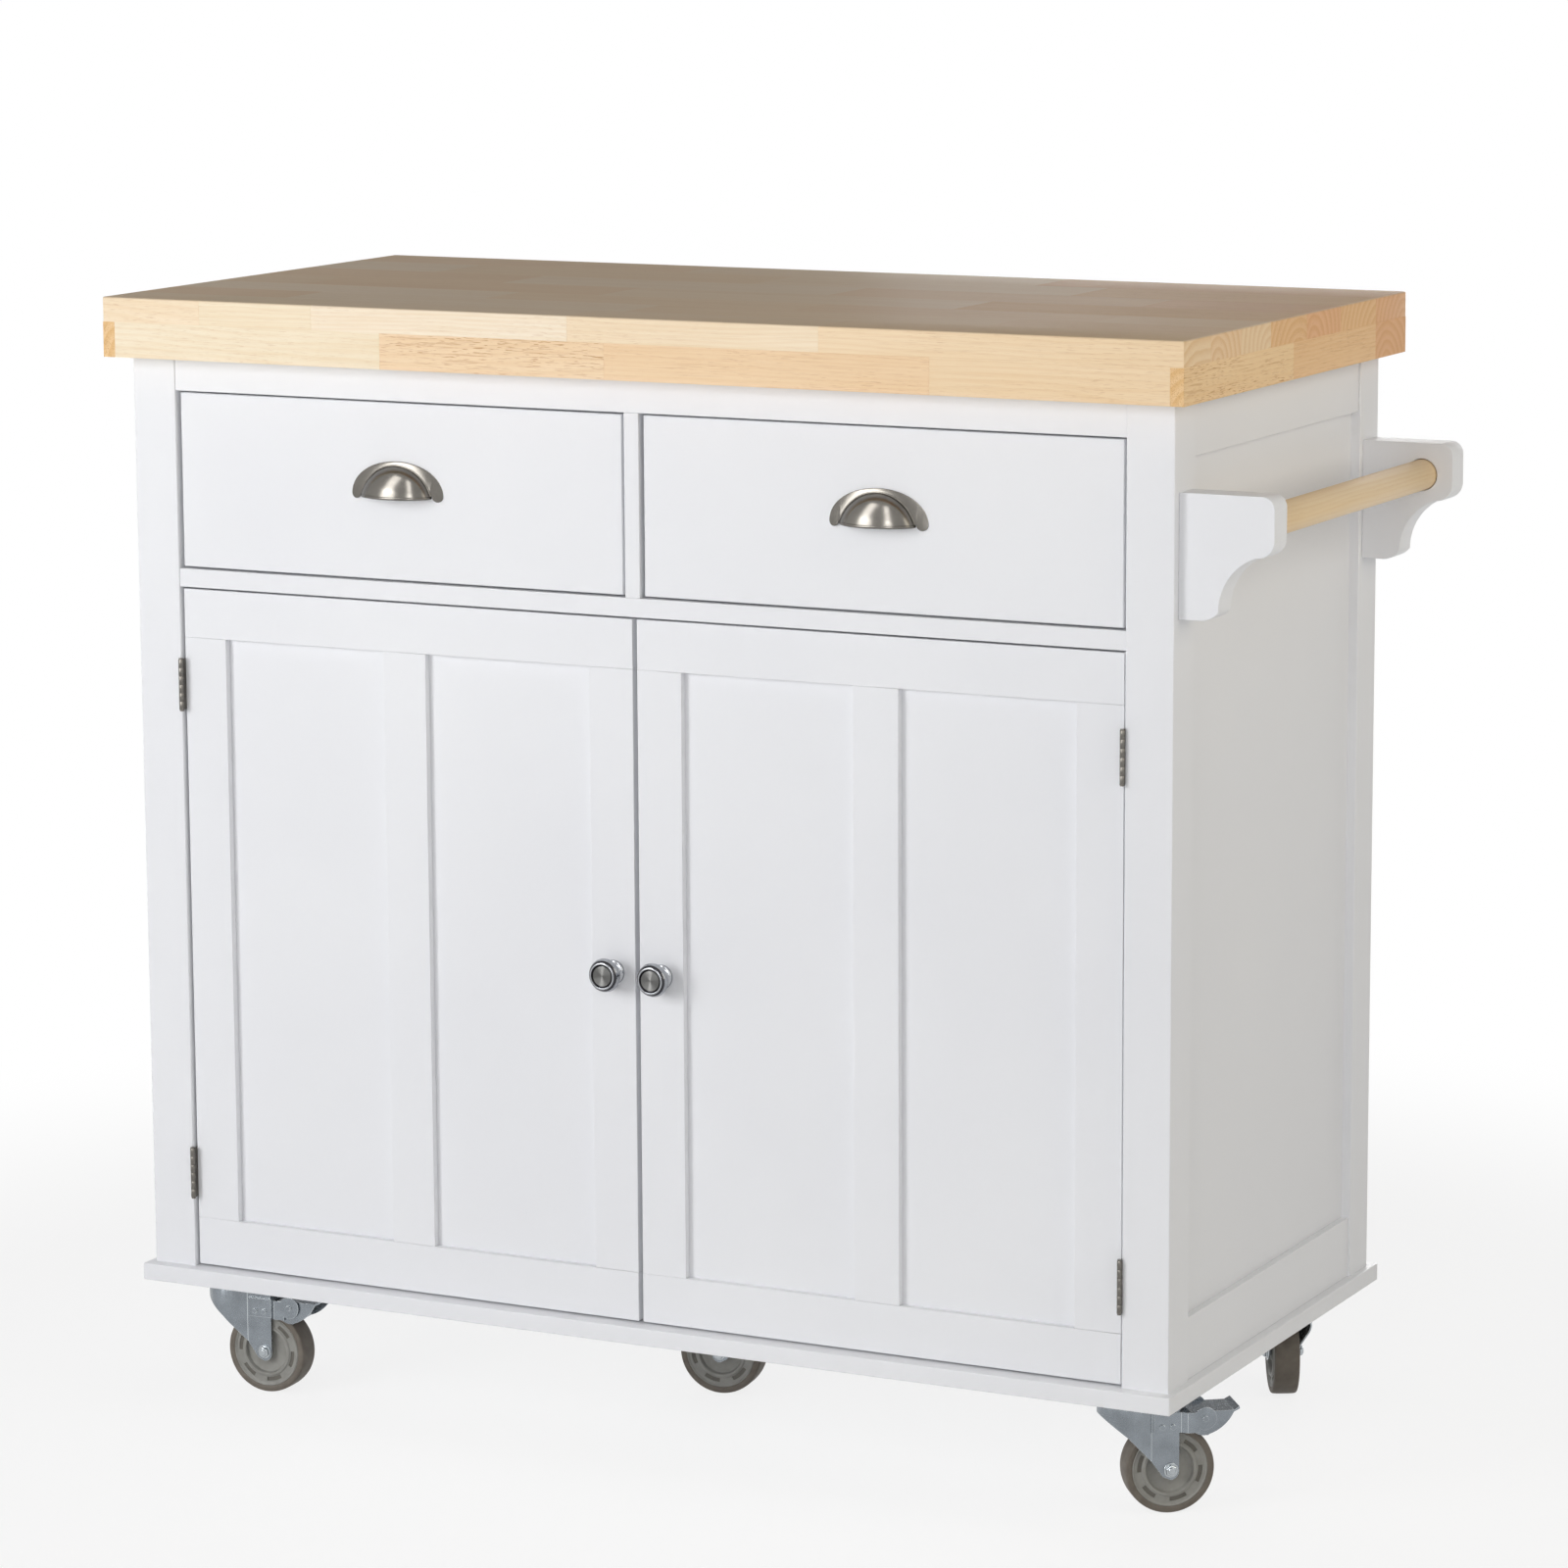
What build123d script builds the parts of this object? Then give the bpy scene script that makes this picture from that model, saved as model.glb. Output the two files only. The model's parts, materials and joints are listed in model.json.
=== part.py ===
from build123d import *
from math import cos, radians, sin
import os

# Kitchen island cart: a white frame-and-panel cabinet with two drawers above two inset doors,
# a butcher-block worktop, a dowel towel bar on its right side and five swivel casters.
# Axes: +X to the right seen from the front, +Y to the back, +Z up.
# Origin: on the floor, under the middle of the whole cart, towel brackets included.
# Lengths are in millimetres.

os.makedirs("parts", exist_ok=True)

# ------------------------------------------------------------------ driving dimensions

# Worktop: a stave panel with thickening strips glued under its edges, wide ones at the front
# and back and thin ones at the sides
overall_height = 915.0
worktop_side_overhang = 15.0
worktop_front_overhang = 20.0
worktop_panel_thickness = 20.0
worktop_rounding = 1.5
edge_strip_height = 28.5
long_strip_width = 67.0
side_strip_width = 11.0
glue_line = 0.1

# Carcass: four square posts on a base board
carcass_width = 912.0
carcass_depth = 420.0
post_width = 39.0
board_rounding = 1.0
base_thickness = 14.0
base_side_overhang = 5.5
base_front_overhang = 11.0

# Side and back frames: rails and panels between the posts
rail_thickness = 20.0
rail_setback = 2.0
panel_setback = 8.0
panel_thickness = 9.0
panel_tongue = 6.0
frame_top_rail_height = 43.5
frame_bottom_rail_height = 49.5

# Front frame
front_rail_setback = 1.0
front_top_rail_height = 27.0
drawer_opening_height = 144.5
middle_rail_height = 15.0
middle_rail_depth = 40.0
divider_thickness = 13.0

# Doors and drawer fronts, set into the front frame
front_setback = 3.5
front_thickness = 18.0
door_hinge_gap = 2.0
door_meeting_gap = 3.8
door_bottom_gap = 1.6
door_top_gap = 1.8
door_stile_width = 39.0
door_rail_height = 39.75
door_panel_thickness = 6.0
door_panel_recess = 6.0
door_panel_tongue = 8.0
drawer_side_gap = 3.0
drawer_height_gap = 1.5

# Shelf on four pins, which fit any of three rows of holes in the posts
shelf_thickness = 15.0
shelf_height = 285.0
shelf_end_gap = 1.5
shelf_front_gap = 4.0
shelf_back_gap = 3.0
pin_radius = 2.5
pin_hole_clearance = 0.1
pin_hole_depth = 10.0
pin_reach = 8.0
pin_inset = 9.0
pin_pitch = 64.0
pin_rows = 3

# Drawer boxes and their two-part runners
box_side_thickness = 12.0
box_back_gap = 31.5
box_height = 110.0
box_bottom_thickness = 5.0
box_bottom_rise = 10.0
box_groove_depth = 6.0
box_lift = 8.0
runner_width = 12.7
runner_height = 35.0
runner_wall = 1.2
runner_rise = 45.0
runner_front_gap = 2.5
runner_back_gap = 7.5
fixed_runner_depth = 9.5
moving_runner_height = 24.0
moving_runner_depth = 8.7
cleat_height = 50.0

# Butt hinges
hinge_length = 41.5
hinge_inset = 57.5
hinge_knuckles = 6
knuckle_radius = 2.0
knuckle_gap = 0.15
hinge_pin_radius = 1.0
hinge_pin_clearance = 0.05
hinge_pin_head_radius = 1.7
hinge_pin_head_height = 1.0
leaf_depth = 20.0
leaf_thickness = 0.9
barrel_post_clearance = 0.2

# Door knobs, turned about an axis square to the door
knob_base_radius = 10.0
knob_base_height = 2.5
knob_neck_radius = 6.5
knob_neck_height = 9.0
knob_radius = 13.5
knob_rim_height = 14.0
knob_rim_bulge = 1.6
knob_projection = 20.5
knob_lip_radius = 10.5
knob_lip_width = 1.3
knob_groove_depth = 1.5
knob_disc_radius = 8.2

# Cup pulls: part of a shallow dome, open below, on a crescent plate with round ends
cup_radius = 33.3
cup_projection = 21.0
cup_wall = 1.6
cup_axis_drop = 12.0
cup_mouth_rise = 10.0
cup_plate_thickness = 1.6
cup_plate_margin = 3.0
cup_lobe_radius = 4.5
cup_lobe_spacing = 74.6

# Towel bar: a dowel between two shaped brackets
bracket_reach = 76.0
bracket_height = 95.0
bracket_thickness = 25.0
bracket_end_inset = 8.0
bracket_top_drop = 66.5
bracket_top_radius = 10.0
bracket_nose_height = 34.0
bracket_nose_run = 14.0
bracket_nose_fall = 12.0
bracket_nose_bulge = 3.8
bracket_hollow = 8.4
bracket_foot_reach = 32.0
bracket_foot_rise = 7.0
bracket_foot_flat = 16.0
bracket_foot_bulge = 2.2
bar_radius = 12.25
bar_hole_clearance = 0.5
bar_hole_depth = 15.0
bar_reach = 50.0
bar_drop = 25.5

# Casters: four under the corners and one under the middle
caster_height = 98.0
caster_side_inset = 57.5
caster_front_inset = 55.0
plate_size = 60.0
plate_thickness = 2.5
plate_rounding = 5.0
race_radius = 18.0
race_gap = 0.4
kingpin_radius = 5.0
kingpin_head_radius = 8.0
kingpin_head_height = 3.0
kingpin_head_gap = 0.5
pivot_clearance = 0.05
screw_spacing = 46.0
screw_radius = 2.0
screw_head_radius = 3.8
screw_head_height = 1.8
screw_depth = 10.0
screw_clearance = 0.05
wheel_radius = 35.5
wheel_width = 21.0
wheel_trail = 31.0
tread_thickness = 5.6
tread_rounding = 4.0
tread_bond = 0.05
hub_lip_radius = 22.0
hub_lip_width = 3.0
hub_boss_radius = 8.0
hub_boss_recess = 1.0
hub_ring_recess = 0.8
hub_disc_recess = 3.5
hub_window_count = 6
hub_window_length = 11.0
hub_window_width = 3.6
hub_window_depth = 4.0
hub_window_radius = 24.3
axle_radius = 4.0
axle_clearance = 0.05
nut_flats = 10.0
nut_height = 4.5
fork_wall = 1.8
fork_leg_half_width = 13.0
fork_crown_thickness = 2.0
fork_crown_drop = 5.0
fork_crown_reach = 24.5
fork_crown_half_width = 17.5
fork_shoulder = 4.0
fork_crease = 15.5
fork_leg_end = 37.5
fork_leg_radius = 7.0
fork_leg_tip = 27.5
fork_top_end = 18.0
fork_leg_top = 84.0
fork_tip_start = 24.5
fork_tip_rise = 3.0
fork_skirt_crease_rise = 7.5
fork_skirt_middle = -4.0
fork_skirt_middle_rise = 28.5
fork_skirt_back_rise = 45.5

# Pedal brakes on the two front casters
bracket_plate_start = 17.0
bracket_plate_bend = 39.5
bracket_bend_run = 4.5
bracket_bend_step = 3.0
bracket_plate_low = 65.5
bracket_plate_high = 81.5
bracket_lobe_radius = 9.0
rivet_radius = 2.2
rivet_height = 1.4
rivet_places = (23.5, 32.0)
rivet_level = 70.4
pedal_pivot_reach = 57.0
pedal_pivot_height = 76.5
pedal_pin_radius = 2.2
pedal_side_gap = 0.4
pedal_wall = 1.6
pedal_heel = 45.5
pedal_toe = 80.0
pedal_top = 80.0
pedal_belly = 57.0
pedal_belly_drop = 17.5
pedal_belly_bulge = 3.5
pedal_heel_run = 3.0
pedal_heel_drop = 14.0
pedal_heel_bulge = 1.0
pedal_lip_run = 4.7
pedal_lip_rise = 2.4
shoe_radius = 2.0
shoe_reach = 59.0
shoe_height = 64.5

# ------------------------------------------------------------------ derived places

# The right towel bracket makes the cart wider on that side of the cabinet's middle.
half_width = carcass_width / 2
half_depth = carcass_depth / 2
left_reach = half_width + max(worktop_side_overhang, base_side_overhang)
right_reach = max(left_reach, half_width + bracket_reach)
middle_x = (left_reach - right_reach) / 2

worktop_half_length = half_width + worktop_side_overhang
worktop_half_depth = half_depth + worktop_front_overhang
side_strip_x = worktop_half_length - side_strip_width
long_strip_y = worktop_half_depth - long_strip_width

base_bottom = caster_height
base_top = base_bottom + base_thickness
base_half_length = half_width + base_side_overhang
base_half_depth = half_depth + base_front_overhang
strip_top = overall_height - worktop_panel_thickness
carcass_top = strip_top - edge_strip_height
drawer_opening_top = carcass_top - front_top_rail_height
drawer_opening_bottom = drawer_opening_top - drawer_opening_height
door_opening_top = drawer_opening_bottom - middle_rail_height

post_inner_x = half_width - post_width
post_inner_y = half_depth - post_width
panel_outer_x = half_width - panel_setback
panel_inner_x = panel_outer_x - panel_thickness
panel_outer_y = half_depth - panel_setback
panel_inner_y = panel_outer_y - panel_thickness
panel_low = base_top + frame_bottom_rail_height - panel_tongue
panel_high = carcass_top - frame_top_rail_height + panel_tongue

front_face = -half_depth + front_setback
front_back = front_face + front_thickness
half_divider = divider_thickness / 2

door_inner = door_meeting_gap / 2
door_outer = post_inner_x - door_hinge_gap
door_bottom = base_top + door_bottom_gap
door_top = door_opening_top - door_top_gap
door_panel_face = front_face + door_panel_recess

box_inner_x = half_divider + runner_width
box_outer_x = post_inner_x - runner_width
box_bottom = drawer_opening_bottom + box_lift
box_back = panel_inner_y - box_back_gap
runner_z = box_bottom + runner_rise
runner_front = front_back + runner_front_gap
runner_back = box_back - runner_back_gap

hinge_x = post_inner_x - door_hinge_gap / 2
hinge_y = -half_depth - barrel_post_clearance - knuckle_radius
hinge_bottoms = (door_bottom + hinge_inset, door_top - hinge_inset - hinge_length)

bracket_top = carcass_top - bracket_top_drop
bar_x = half_width + bar_reach
bar_z = bracket_top - bar_drop
bracket_outer_y = half_depth - bracket_end_inset
bracket_inner_y = bracket_outer_y - bracket_thickness

axle_z = wheel_radius
plate_bottom = base_bottom - plate_thickness
crown_top = base_bottom - fork_crown_drop
crown_bottom = crown_top - fork_crown_thickness
hub_radius = wheel_radius - tread_thickness
bracket_plate_wall = fork_wall
lobe_inner = fork_leg_half_width + bracket_bend_step
pedal_outer = lobe_inner - pedal_side_gap
pedal_inner = pedal_outer - pedal_wall

SIDES = {"left": -1, "right": 1}

# Each caster: place under the base board, swivel angle of its trail from +X, and pedal or none
half_x = base_half_length - caster_side_inset
half_y = base_half_depth - caster_front_inset
CASTERS = {
    "front_left": (-half_x, -half_y, 3.2, True),
    "front_right": (half_x, -half_y, 36.8, True),
    "back_left": (-half_x, half_y, 150.0, False),
    "back_right": (half_x, half_y, 118.9, False),
    "center": (0.0, 0.0, 188.0, False),
}


# ------------------------------------------------------------------ helpers

def slab(low, high, mode=Mode.ADD):
    """A straight board between two opposite corners, x counted from the cabinet's middle."""
    size = [b - a for a, b in zip(low, high)]
    with Locations((middle_x + low[0], low[1], low[2])):
        Box(*size, align=(Align.MIN, Align.MIN, Align.MIN), mode=mode)


def side_slab(side, low, high, mode=Mode.ADD):
    """The same board on one side: x is the distance from the cabinet's middle."""
    near, far = sorted((side * low[0], side * high[0]))
    slab((near, low[1], low[2]), (far, high[1], high[2]), mode)


def save(piece, label):
    piece.part.label = label
    export_step(piece.part, f"parts/{label}.step")


# ------------------------------------------------------------------ worktop

with BuildPart() as worktop_panel:
    slab((-worktop_half_length, -worktop_half_depth, strip_top),
         (worktop_half_length, worktop_half_depth, overall_height))
    fillet(worktop_panel.edges().filter_by(Axis.Z), worktop_rounding)
    fillet(worktop_panel.faces().sort_by(Axis.Z)[-1].edges(), worktop_rounding)
save(worktop_panel, "worktop_panel")

# The back strip runs the full length, the side strips run forward from it to the front,
# and the front strip fills in between them.
with BuildPart() as worktop_edge_strips:
    slab((-worktop_half_length, long_strip_y, carcass_top),
         (worktop_half_length, worktop_half_depth, strip_top))
    slab((-side_strip_x + glue_line, -worktop_half_depth, carcass_top),
         (side_strip_x - glue_line, -long_strip_y, strip_top))
    for side in SIDES.values():
        side_slab(side, (side_strip_x, -worktop_half_depth, carcass_top),
                  (worktop_half_length, long_strip_y - glue_line, strip_top))
save(worktop_edge_strips, "worktop_edge_strips")

# ------------------------------------------------------------------ carcass

pin_y = post_inner_y + pin_inset
pin_levels = [base_top + shelf_height - shelf_thickness - pin_radius + row * pin_pitch
              for row in range(-(pin_rows // 2), pin_rows - pin_rows // 2)]


def bore_sideways(side, x, y, z, radius, depth, mode):
    """A round bar or hole that starts at x and runs away from the cabinet's middle."""
    start = Plane(origin=(middle_x + side * x, y, z), x_dir=(0, 1, 0), z_dir=(side, 0, 0))
    with BuildSketch(start) as bore:
        Circle(radius)
    extrude(bore.sketch, amount=depth, mode=mode)


for side_name, side in SIDES.items():
    for end_name, end in (("front", -1), ("back", 1)):
        with BuildPart() as post:
            near_y, far_y = sorted((end * post_inner_y, end * half_depth))
            side_slab(side, (post_inner_x, near_y, base_top), (half_width, far_y, carcass_top))
            fillet(post.edges().filter_by(Axis.Z), board_rounding)
            # groove for the side panel
            near_y, far_y = sorted((end * post_inner_y, end * (post_inner_y + panel_tongue)))
            side_slab(side, (panel_inner_x, near_y, base_top), (panel_outer_x, far_y, carcass_top),
                      Mode.SUBTRACT)
            if end > 0:
                # groove for the back panel
                side_slab(side, (post_inner_x, panel_inner_y, base_top),
                          (post_inner_x + panel_tongue, panel_outer_y, carcass_top), Mode.SUBTRACT)
            for level in pin_levels:
                bore_sideways(side, post_inner_x, end * pin_y, level,
                              pin_radius + pin_hole_clearance, pin_hole_depth, Mode.SUBTRACT)
        save(post, f"{end_name}_{side_name}_post")

with BuildPart() as front_top_rail:
    slab((-post_inner_x, -half_depth + front_rail_setback, drawer_opening_top),
         (post_inner_x, -half_depth + front_rail_setback + rail_thickness, carcass_top))
save(front_top_rail, "front_top_rail")

with BuildPart() as front_middle_rail:
    slab((-post_inner_x, -half_depth + front_rail_setback, door_opening_top),
         (post_inner_x, -half_depth + front_rail_setback + middle_rail_depth,
          drawer_opening_bottom))
save(front_middle_rail, "front_middle_rail")

# The divider reaches back to the back panel and is notched for the front and back top rails.
with BuildPart() as drawer_divider:
    slab((-half_divider, -half_depth + front_rail_setback, drawer_opening_bottom),
         (half_divider, panel_inner_y, carcass_top))
    slab((-half_divider, -half_depth + front_rail_setback, drawer_opening_top),
         (half_divider, -half_depth + front_rail_setback + rail_thickness, carcass_top),
         Mode.SUBTRACT)
    slab((-half_divider, half_depth - rail_setback - rail_thickness,
          carcass_top - frame_top_rail_height),
         (half_divider, panel_inner_y, carcass_top), Mode.SUBTRACT)
save(drawer_divider, "drawer_divider")

for side_name, side in SIDES.items():
    with BuildPart() as side_panel:
        side_slab(side, (panel_inner_x, -post_inner_y - panel_tongue, panel_low),
                  (panel_outer_x, post_inner_y + panel_tongue, panel_high))
    save(side_panel, f"{side_name}_side_panel")

with BuildPart() as back_panel:
    slab((-post_inner_x - panel_tongue, panel_inner_y, panel_low),
         (post_inner_x + panel_tongue, panel_outer_y, panel_high))
save(back_panel, "back_panel")

# Top and bottom rails of both sides and the back, grooved for the panels
rail_levels = ((base_top, base_top + frame_bottom_rail_height),
               (carcass_top - frame_top_rail_height, carcass_top))
with BuildPart() as carcass_rails:
    for low, high in rail_levels:
        for side in SIDES.values():
            side_slab(side, (half_width - rail_setback - rail_thickness, -post_inner_y, low),
                      (half_width - rail_setback, post_inner_y, high))
        slab((-post_inner_x, half_depth - rail_setback - rail_thickness, low),
             (post_inner_x, half_depth - rail_setback, high))
    for side in SIDES.values():
        side_slab(side, (panel_inner_x, -post_inner_y, panel_low),
                  (panel_outer_x, post_inner_y, panel_high), Mode.SUBTRACT)
    slab((-post_inner_x, panel_inner_y, panel_low), (post_inner_x, panel_outer_y, panel_high),
         Mode.SUBTRACT)
save(carcass_rails, "carcass_rails")

# Caster screws come up into blind pilot holes in the base board.
screw_places = [(x + dx * screw_spacing / 2, y + dy * screw_spacing / 2)
                for x, y, angle, braked in CASTERS.values() for dx in (-1, 1) for dy in (-1, 1)]
with BuildPart() as base_board:
    slab((-base_half_length, -base_half_depth, base_bottom),
         (base_half_length, base_half_depth, base_top))
    fillet(base_board.edges(), board_rounding)
    with BuildSketch(Plane.XY.offset(base_bottom)):
        with Locations([(middle_x + x, y) for x, y in screw_places]):
            Circle(screw_radius + screw_clearance)
    extrude(amount=screw_depth, mode=Mode.SUBTRACT)
save(base_board, "base_board")

with BuildPart() as adjustable_shelf:
    slab((-post_inner_x + shelf_end_gap, front_back + shelf_front_gap,
          base_top + shelf_height - shelf_thickness),
         (post_inner_x - shelf_end_gap, panel_inner_y - shelf_back_gap, base_top + shelf_height))
    fillet(adjustable_shelf.edges().filter_by(Axis.X), board_rounding)
save(adjustable_shelf, "adjustable_shelf")

with BuildPart() as shelf_pins:
    for side in SIDES.values():
        for end in (-1, 1):
            bore_sideways(side, post_inner_x - pin_reach, end * pin_y,
                          pin_levels[pin_rows // 2], pin_radius, pin_reach + pin_hole_depth,
                          Mode.ADD)
save(shelf_pins, "shelf_pins")

# ------------------------------------------------------------------ drawers

with BuildPart() as runner_cleats:
    for side in SIDES.values():
        side_slab(side, (post_inner_x, -post_inner_y, runner_z - cleat_height / 2),
                  (panel_inner_x, post_inner_y, runner_z + cleat_height / 2))
save(runner_cleats, "runner_cleats")


def channel(wall_x, toward, depth, height, mode=Mode.ADD):
    """A channel along Y with its web on wall_x and its open side facing toward (+1 or -1)."""
    near, far = sorted((wall_x, wall_x + toward * depth))
    slab((near, runner_front, runner_z - height / 2),
         (far, runner_back, runner_z + height / 2), mode)
    near, far = sorted((wall_x + toward * runner_wall, wall_x + toward * depth))
    slab((near, runner_front, runner_z - height / 2 + runner_wall),
         (far, runner_back, runner_z + height / 2 - runner_wall), Mode.SUBTRACT)


with BuildPart() as fixed_runners:
    for side in SIDES.values():
        channel(side * post_inner_x, -side, fixed_runner_depth, runner_height)
        channel(side * half_divider, side, fixed_runner_depth, runner_height)
save(fixed_runners, "fixed_drawer_runners")

cup_x = (half_divider + post_inner_x) / 2
cup_axis_z = (drawer_opening_bottom + drawer_opening_top) / 2 - cup_axis_drop
cup_mouth_z = cup_axis_z + cup_mouth_rise


def half_dome(side, radius, depth, low):
    """A shallow dome on the drawer face, centred on the cup's axis and cut off below low."""
    centre = (middle_x + side * cup_x, front_face, cup_axis_z)
    with BuildPart() as dome:
        with BuildSketch(Plane(origin=centre)):
            Ellipse(radius, depth)
            Rectangle(radius, depth, align=(Align.MIN, Align.MAX), mode=Mode.INTERSECT)
        revolve(axis=Axis(centre, (0, -1, 0)))
        with BuildSketch(Plane.XY.offset(low)):
            with Locations((middle_x + side * cup_x, front_face)):
                Rectangle(4 * radius, 4 * radius)
        extrude(amount=2 * radius, mode=Mode.INTERSECT)
    return dome.part


with BuildSketch() as cup_plate_shape:
    with Locations((0, cup_mouth_rise)):
        Ellipse(cup_lobe_spacing / 2 + cup_lobe_radius,
                cup_radius + cup_plate_margin - cup_mouth_rise)
    Circle(cup_radius - cup_wall, mode=Mode.SUBTRACT)
    with Locations((0, cup_mouth_rise)):
        Rectangle(4 * cup_radius, 2 * cup_radius, mode=Mode.INTERSECT,
                  align=(Align.CENTER, Align.MIN))
    with Locations((-cup_lobe_spacing / 2, cup_mouth_rise),
                   (cup_lobe_spacing / 2, cup_mouth_rise)):
        Circle(cup_lobe_radius)

for side_name, side in SIDES.items():
    label = f"{side_name}_drawer"
    with BuildPart() as drawer_front:
        side_slab(side, (half_divider + drawer_side_gap, front_face,
                         drawer_opening_bottom + drawer_height_gap),
                  (post_inner_x - drawer_side_gap, front_back,
                   drawer_opening_top - drawer_height_gap))
        fillet(drawer_front.faces().sort_by(Axis.Y)[0].edges(), board_rounding)
    save(drawer_front, f"{label}_front")

    # bottom board in a groove all round the box
    floor_low = (box_inner_x + box_side_thickness - box_groove_depth,
                 front_back + box_side_thickness - box_groove_depth, box_bottom + box_bottom_rise)
    floor_high = (box_outer_x - box_side_thickness + box_groove_depth,
                  box_back - box_side_thickness + box_groove_depth,
                  box_bottom + box_bottom_rise + box_bottom_thickness)
    with BuildPart() as drawer_box:
        box_top = box_bottom + box_height
        for near in (box_inner_x, box_outer_x - box_side_thickness):
            side_slab(side, (near, front_back, box_bottom),
                      (near + box_side_thickness, box_back, box_top))
        for near in (front_back, box_back - box_side_thickness):
            side_slab(side, (box_inner_x + box_side_thickness + glue_line, near, box_bottom),
                      (box_outer_x - box_side_thickness - glue_line, near + box_side_thickness,
                       box_top))
        side_slab(side, floor_low, floor_high, Mode.SUBTRACT)
    save(drawer_box, f"{label}_box")

    with BuildPart() as drawer_bottom:
        side_slab(side, floor_low, floor_high)
    save(drawer_bottom, f"{label}_bottom")

    with BuildPart() as moving_runners:
        channel(side * box_inner_x, -side, moving_runner_depth, moving_runner_height)
        channel(side * box_outer_x, side, moving_runner_depth, moving_runner_height)
    save(moving_runners, f"{label}_runners")

    cup_outside = half_dome(side, cup_radius, cup_projection, cup_mouth_z)
    cup_inside = half_dome(side, cup_radius - cup_wall, cup_projection - cup_wall,
                           cup_mouth_z - cup_mouth_rise)
    with BuildPart() as cup_pull:
        with BuildSketch(Plane(origin=(middle_x + side * cup_x, front_face, cup_axis_z),
                               x_dir=(1, 0, 0), z_dir=(0, -1, 0))):
            add(cup_plate_shape.sketch)
        extrude(amount=cup_plate_thickness)
        add(cup_outside)
        add(cup_inside, mode=Mode.SUBTRACT)
    save(cup_pull, f"{label}_cup_pull")

# ------------------------------------------------------------------ doors and hinges

door_stile_low = door_bottom + door_rail_height
door_stile_high = door_top - door_rail_height
door_centre = (door_inner + door_outer) / 2
stile_places = (door_inner, door_centre - door_stile_width / 2, door_outer - door_stile_width)
panel_spans = [(near + door_stile_width - door_panel_tongue, far + door_panel_tongue)
               for near, far in zip(stile_places, stile_places[1:])]


def door_panels(side, mode=Mode.ADD):
    """The two flat panels of one door, or the grooves that hold them."""
    for near, far in panel_spans:
        side_slab(side, (near, door_panel_face, door_stile_low - door_panel_tongue),
                  (far, door_panel_face + door_panel_thickness,
                   door_stile_high + door_panel_tongue), mode)


# Knuckles alternate between the two leaves of a hinge, from the bottom up.
knuckle_pitch = hinge_length / hinge_knuckles


def upright_disc(side, radius, low, high, mode=Mode.ADD):
    """A round bar on the barrel's axis between two heights."""
    with BuildSketch(Plane.XY.offset(low)) as section:
        with Locations((middle_x + side * hinge_x, hinge_y)):
            Circle(radius)
    extrude(section.sketch, amount=high - low, mode=mode)


def hinge_leaf(side, bottom, parity, plate_side):
    """One leaf: a plate in the gap and every other knuckle, on the barrel's axis.

    plate_side is +1 for the leaf on the post and -1 for the leaf on the door.
    """
    gap_half = door_hinge_gap / 2
    near, far = sorted((hinge_x + plate_side * (gap_half - leaf_thickness),
                        hinge_x + plate_side * gap_half))
    plate_front = hinge_y + knuckle_radius + 2 * knuckle_gap
    side_slab(side, (near, plate_front, bottom),
              (far, hinge_y + leaf_depth, bottom + hinge_length))
    for index in range(parity, hinge_knuckles, 2):
        low = bottom + index * knuckle_pitch + knuckle_gap / 2
        high = bottom + (index + 1) * knuckle_pitch - knuckle_gap / 2
        side_slab(side, (near, hinge_y, low), (far, plate_front, high))
        upright_disc(side, knuckle_radius, low, high)
    upright_disc(side, hinge_pin_radius + hinge_pin_clearance, bottom, bottom + hinge_length,
                 Mode.SUBTRACT)


with BuildPart() as hinge_post_leaves:
    for side in SIDES.values():
        for bottom in hinge_bottoms:
            hinge_leaf(side, bottom, 1, 1)
    # the pins, with a head at each end of the barrel
    for side in SIDES.values():
        for bottom in hinge_bottoms:
            top = bottom + hinge_length
            upright_disc(side, hinge_pin_radius, bottom, top)
            upright_disc(side, hinge_pin_head_radius, bottom - hinge_pin_head_height, bottom)
            upright_disc(side, hinge_pin_head_radius, top, top + hinge_pin_head_height)
save(hinge_post_leaves, "hinge_post_leaves")

knob_z = (door_bottom + door_top) / 2
knob_x = door_inner + door_stile_width / 2

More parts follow.
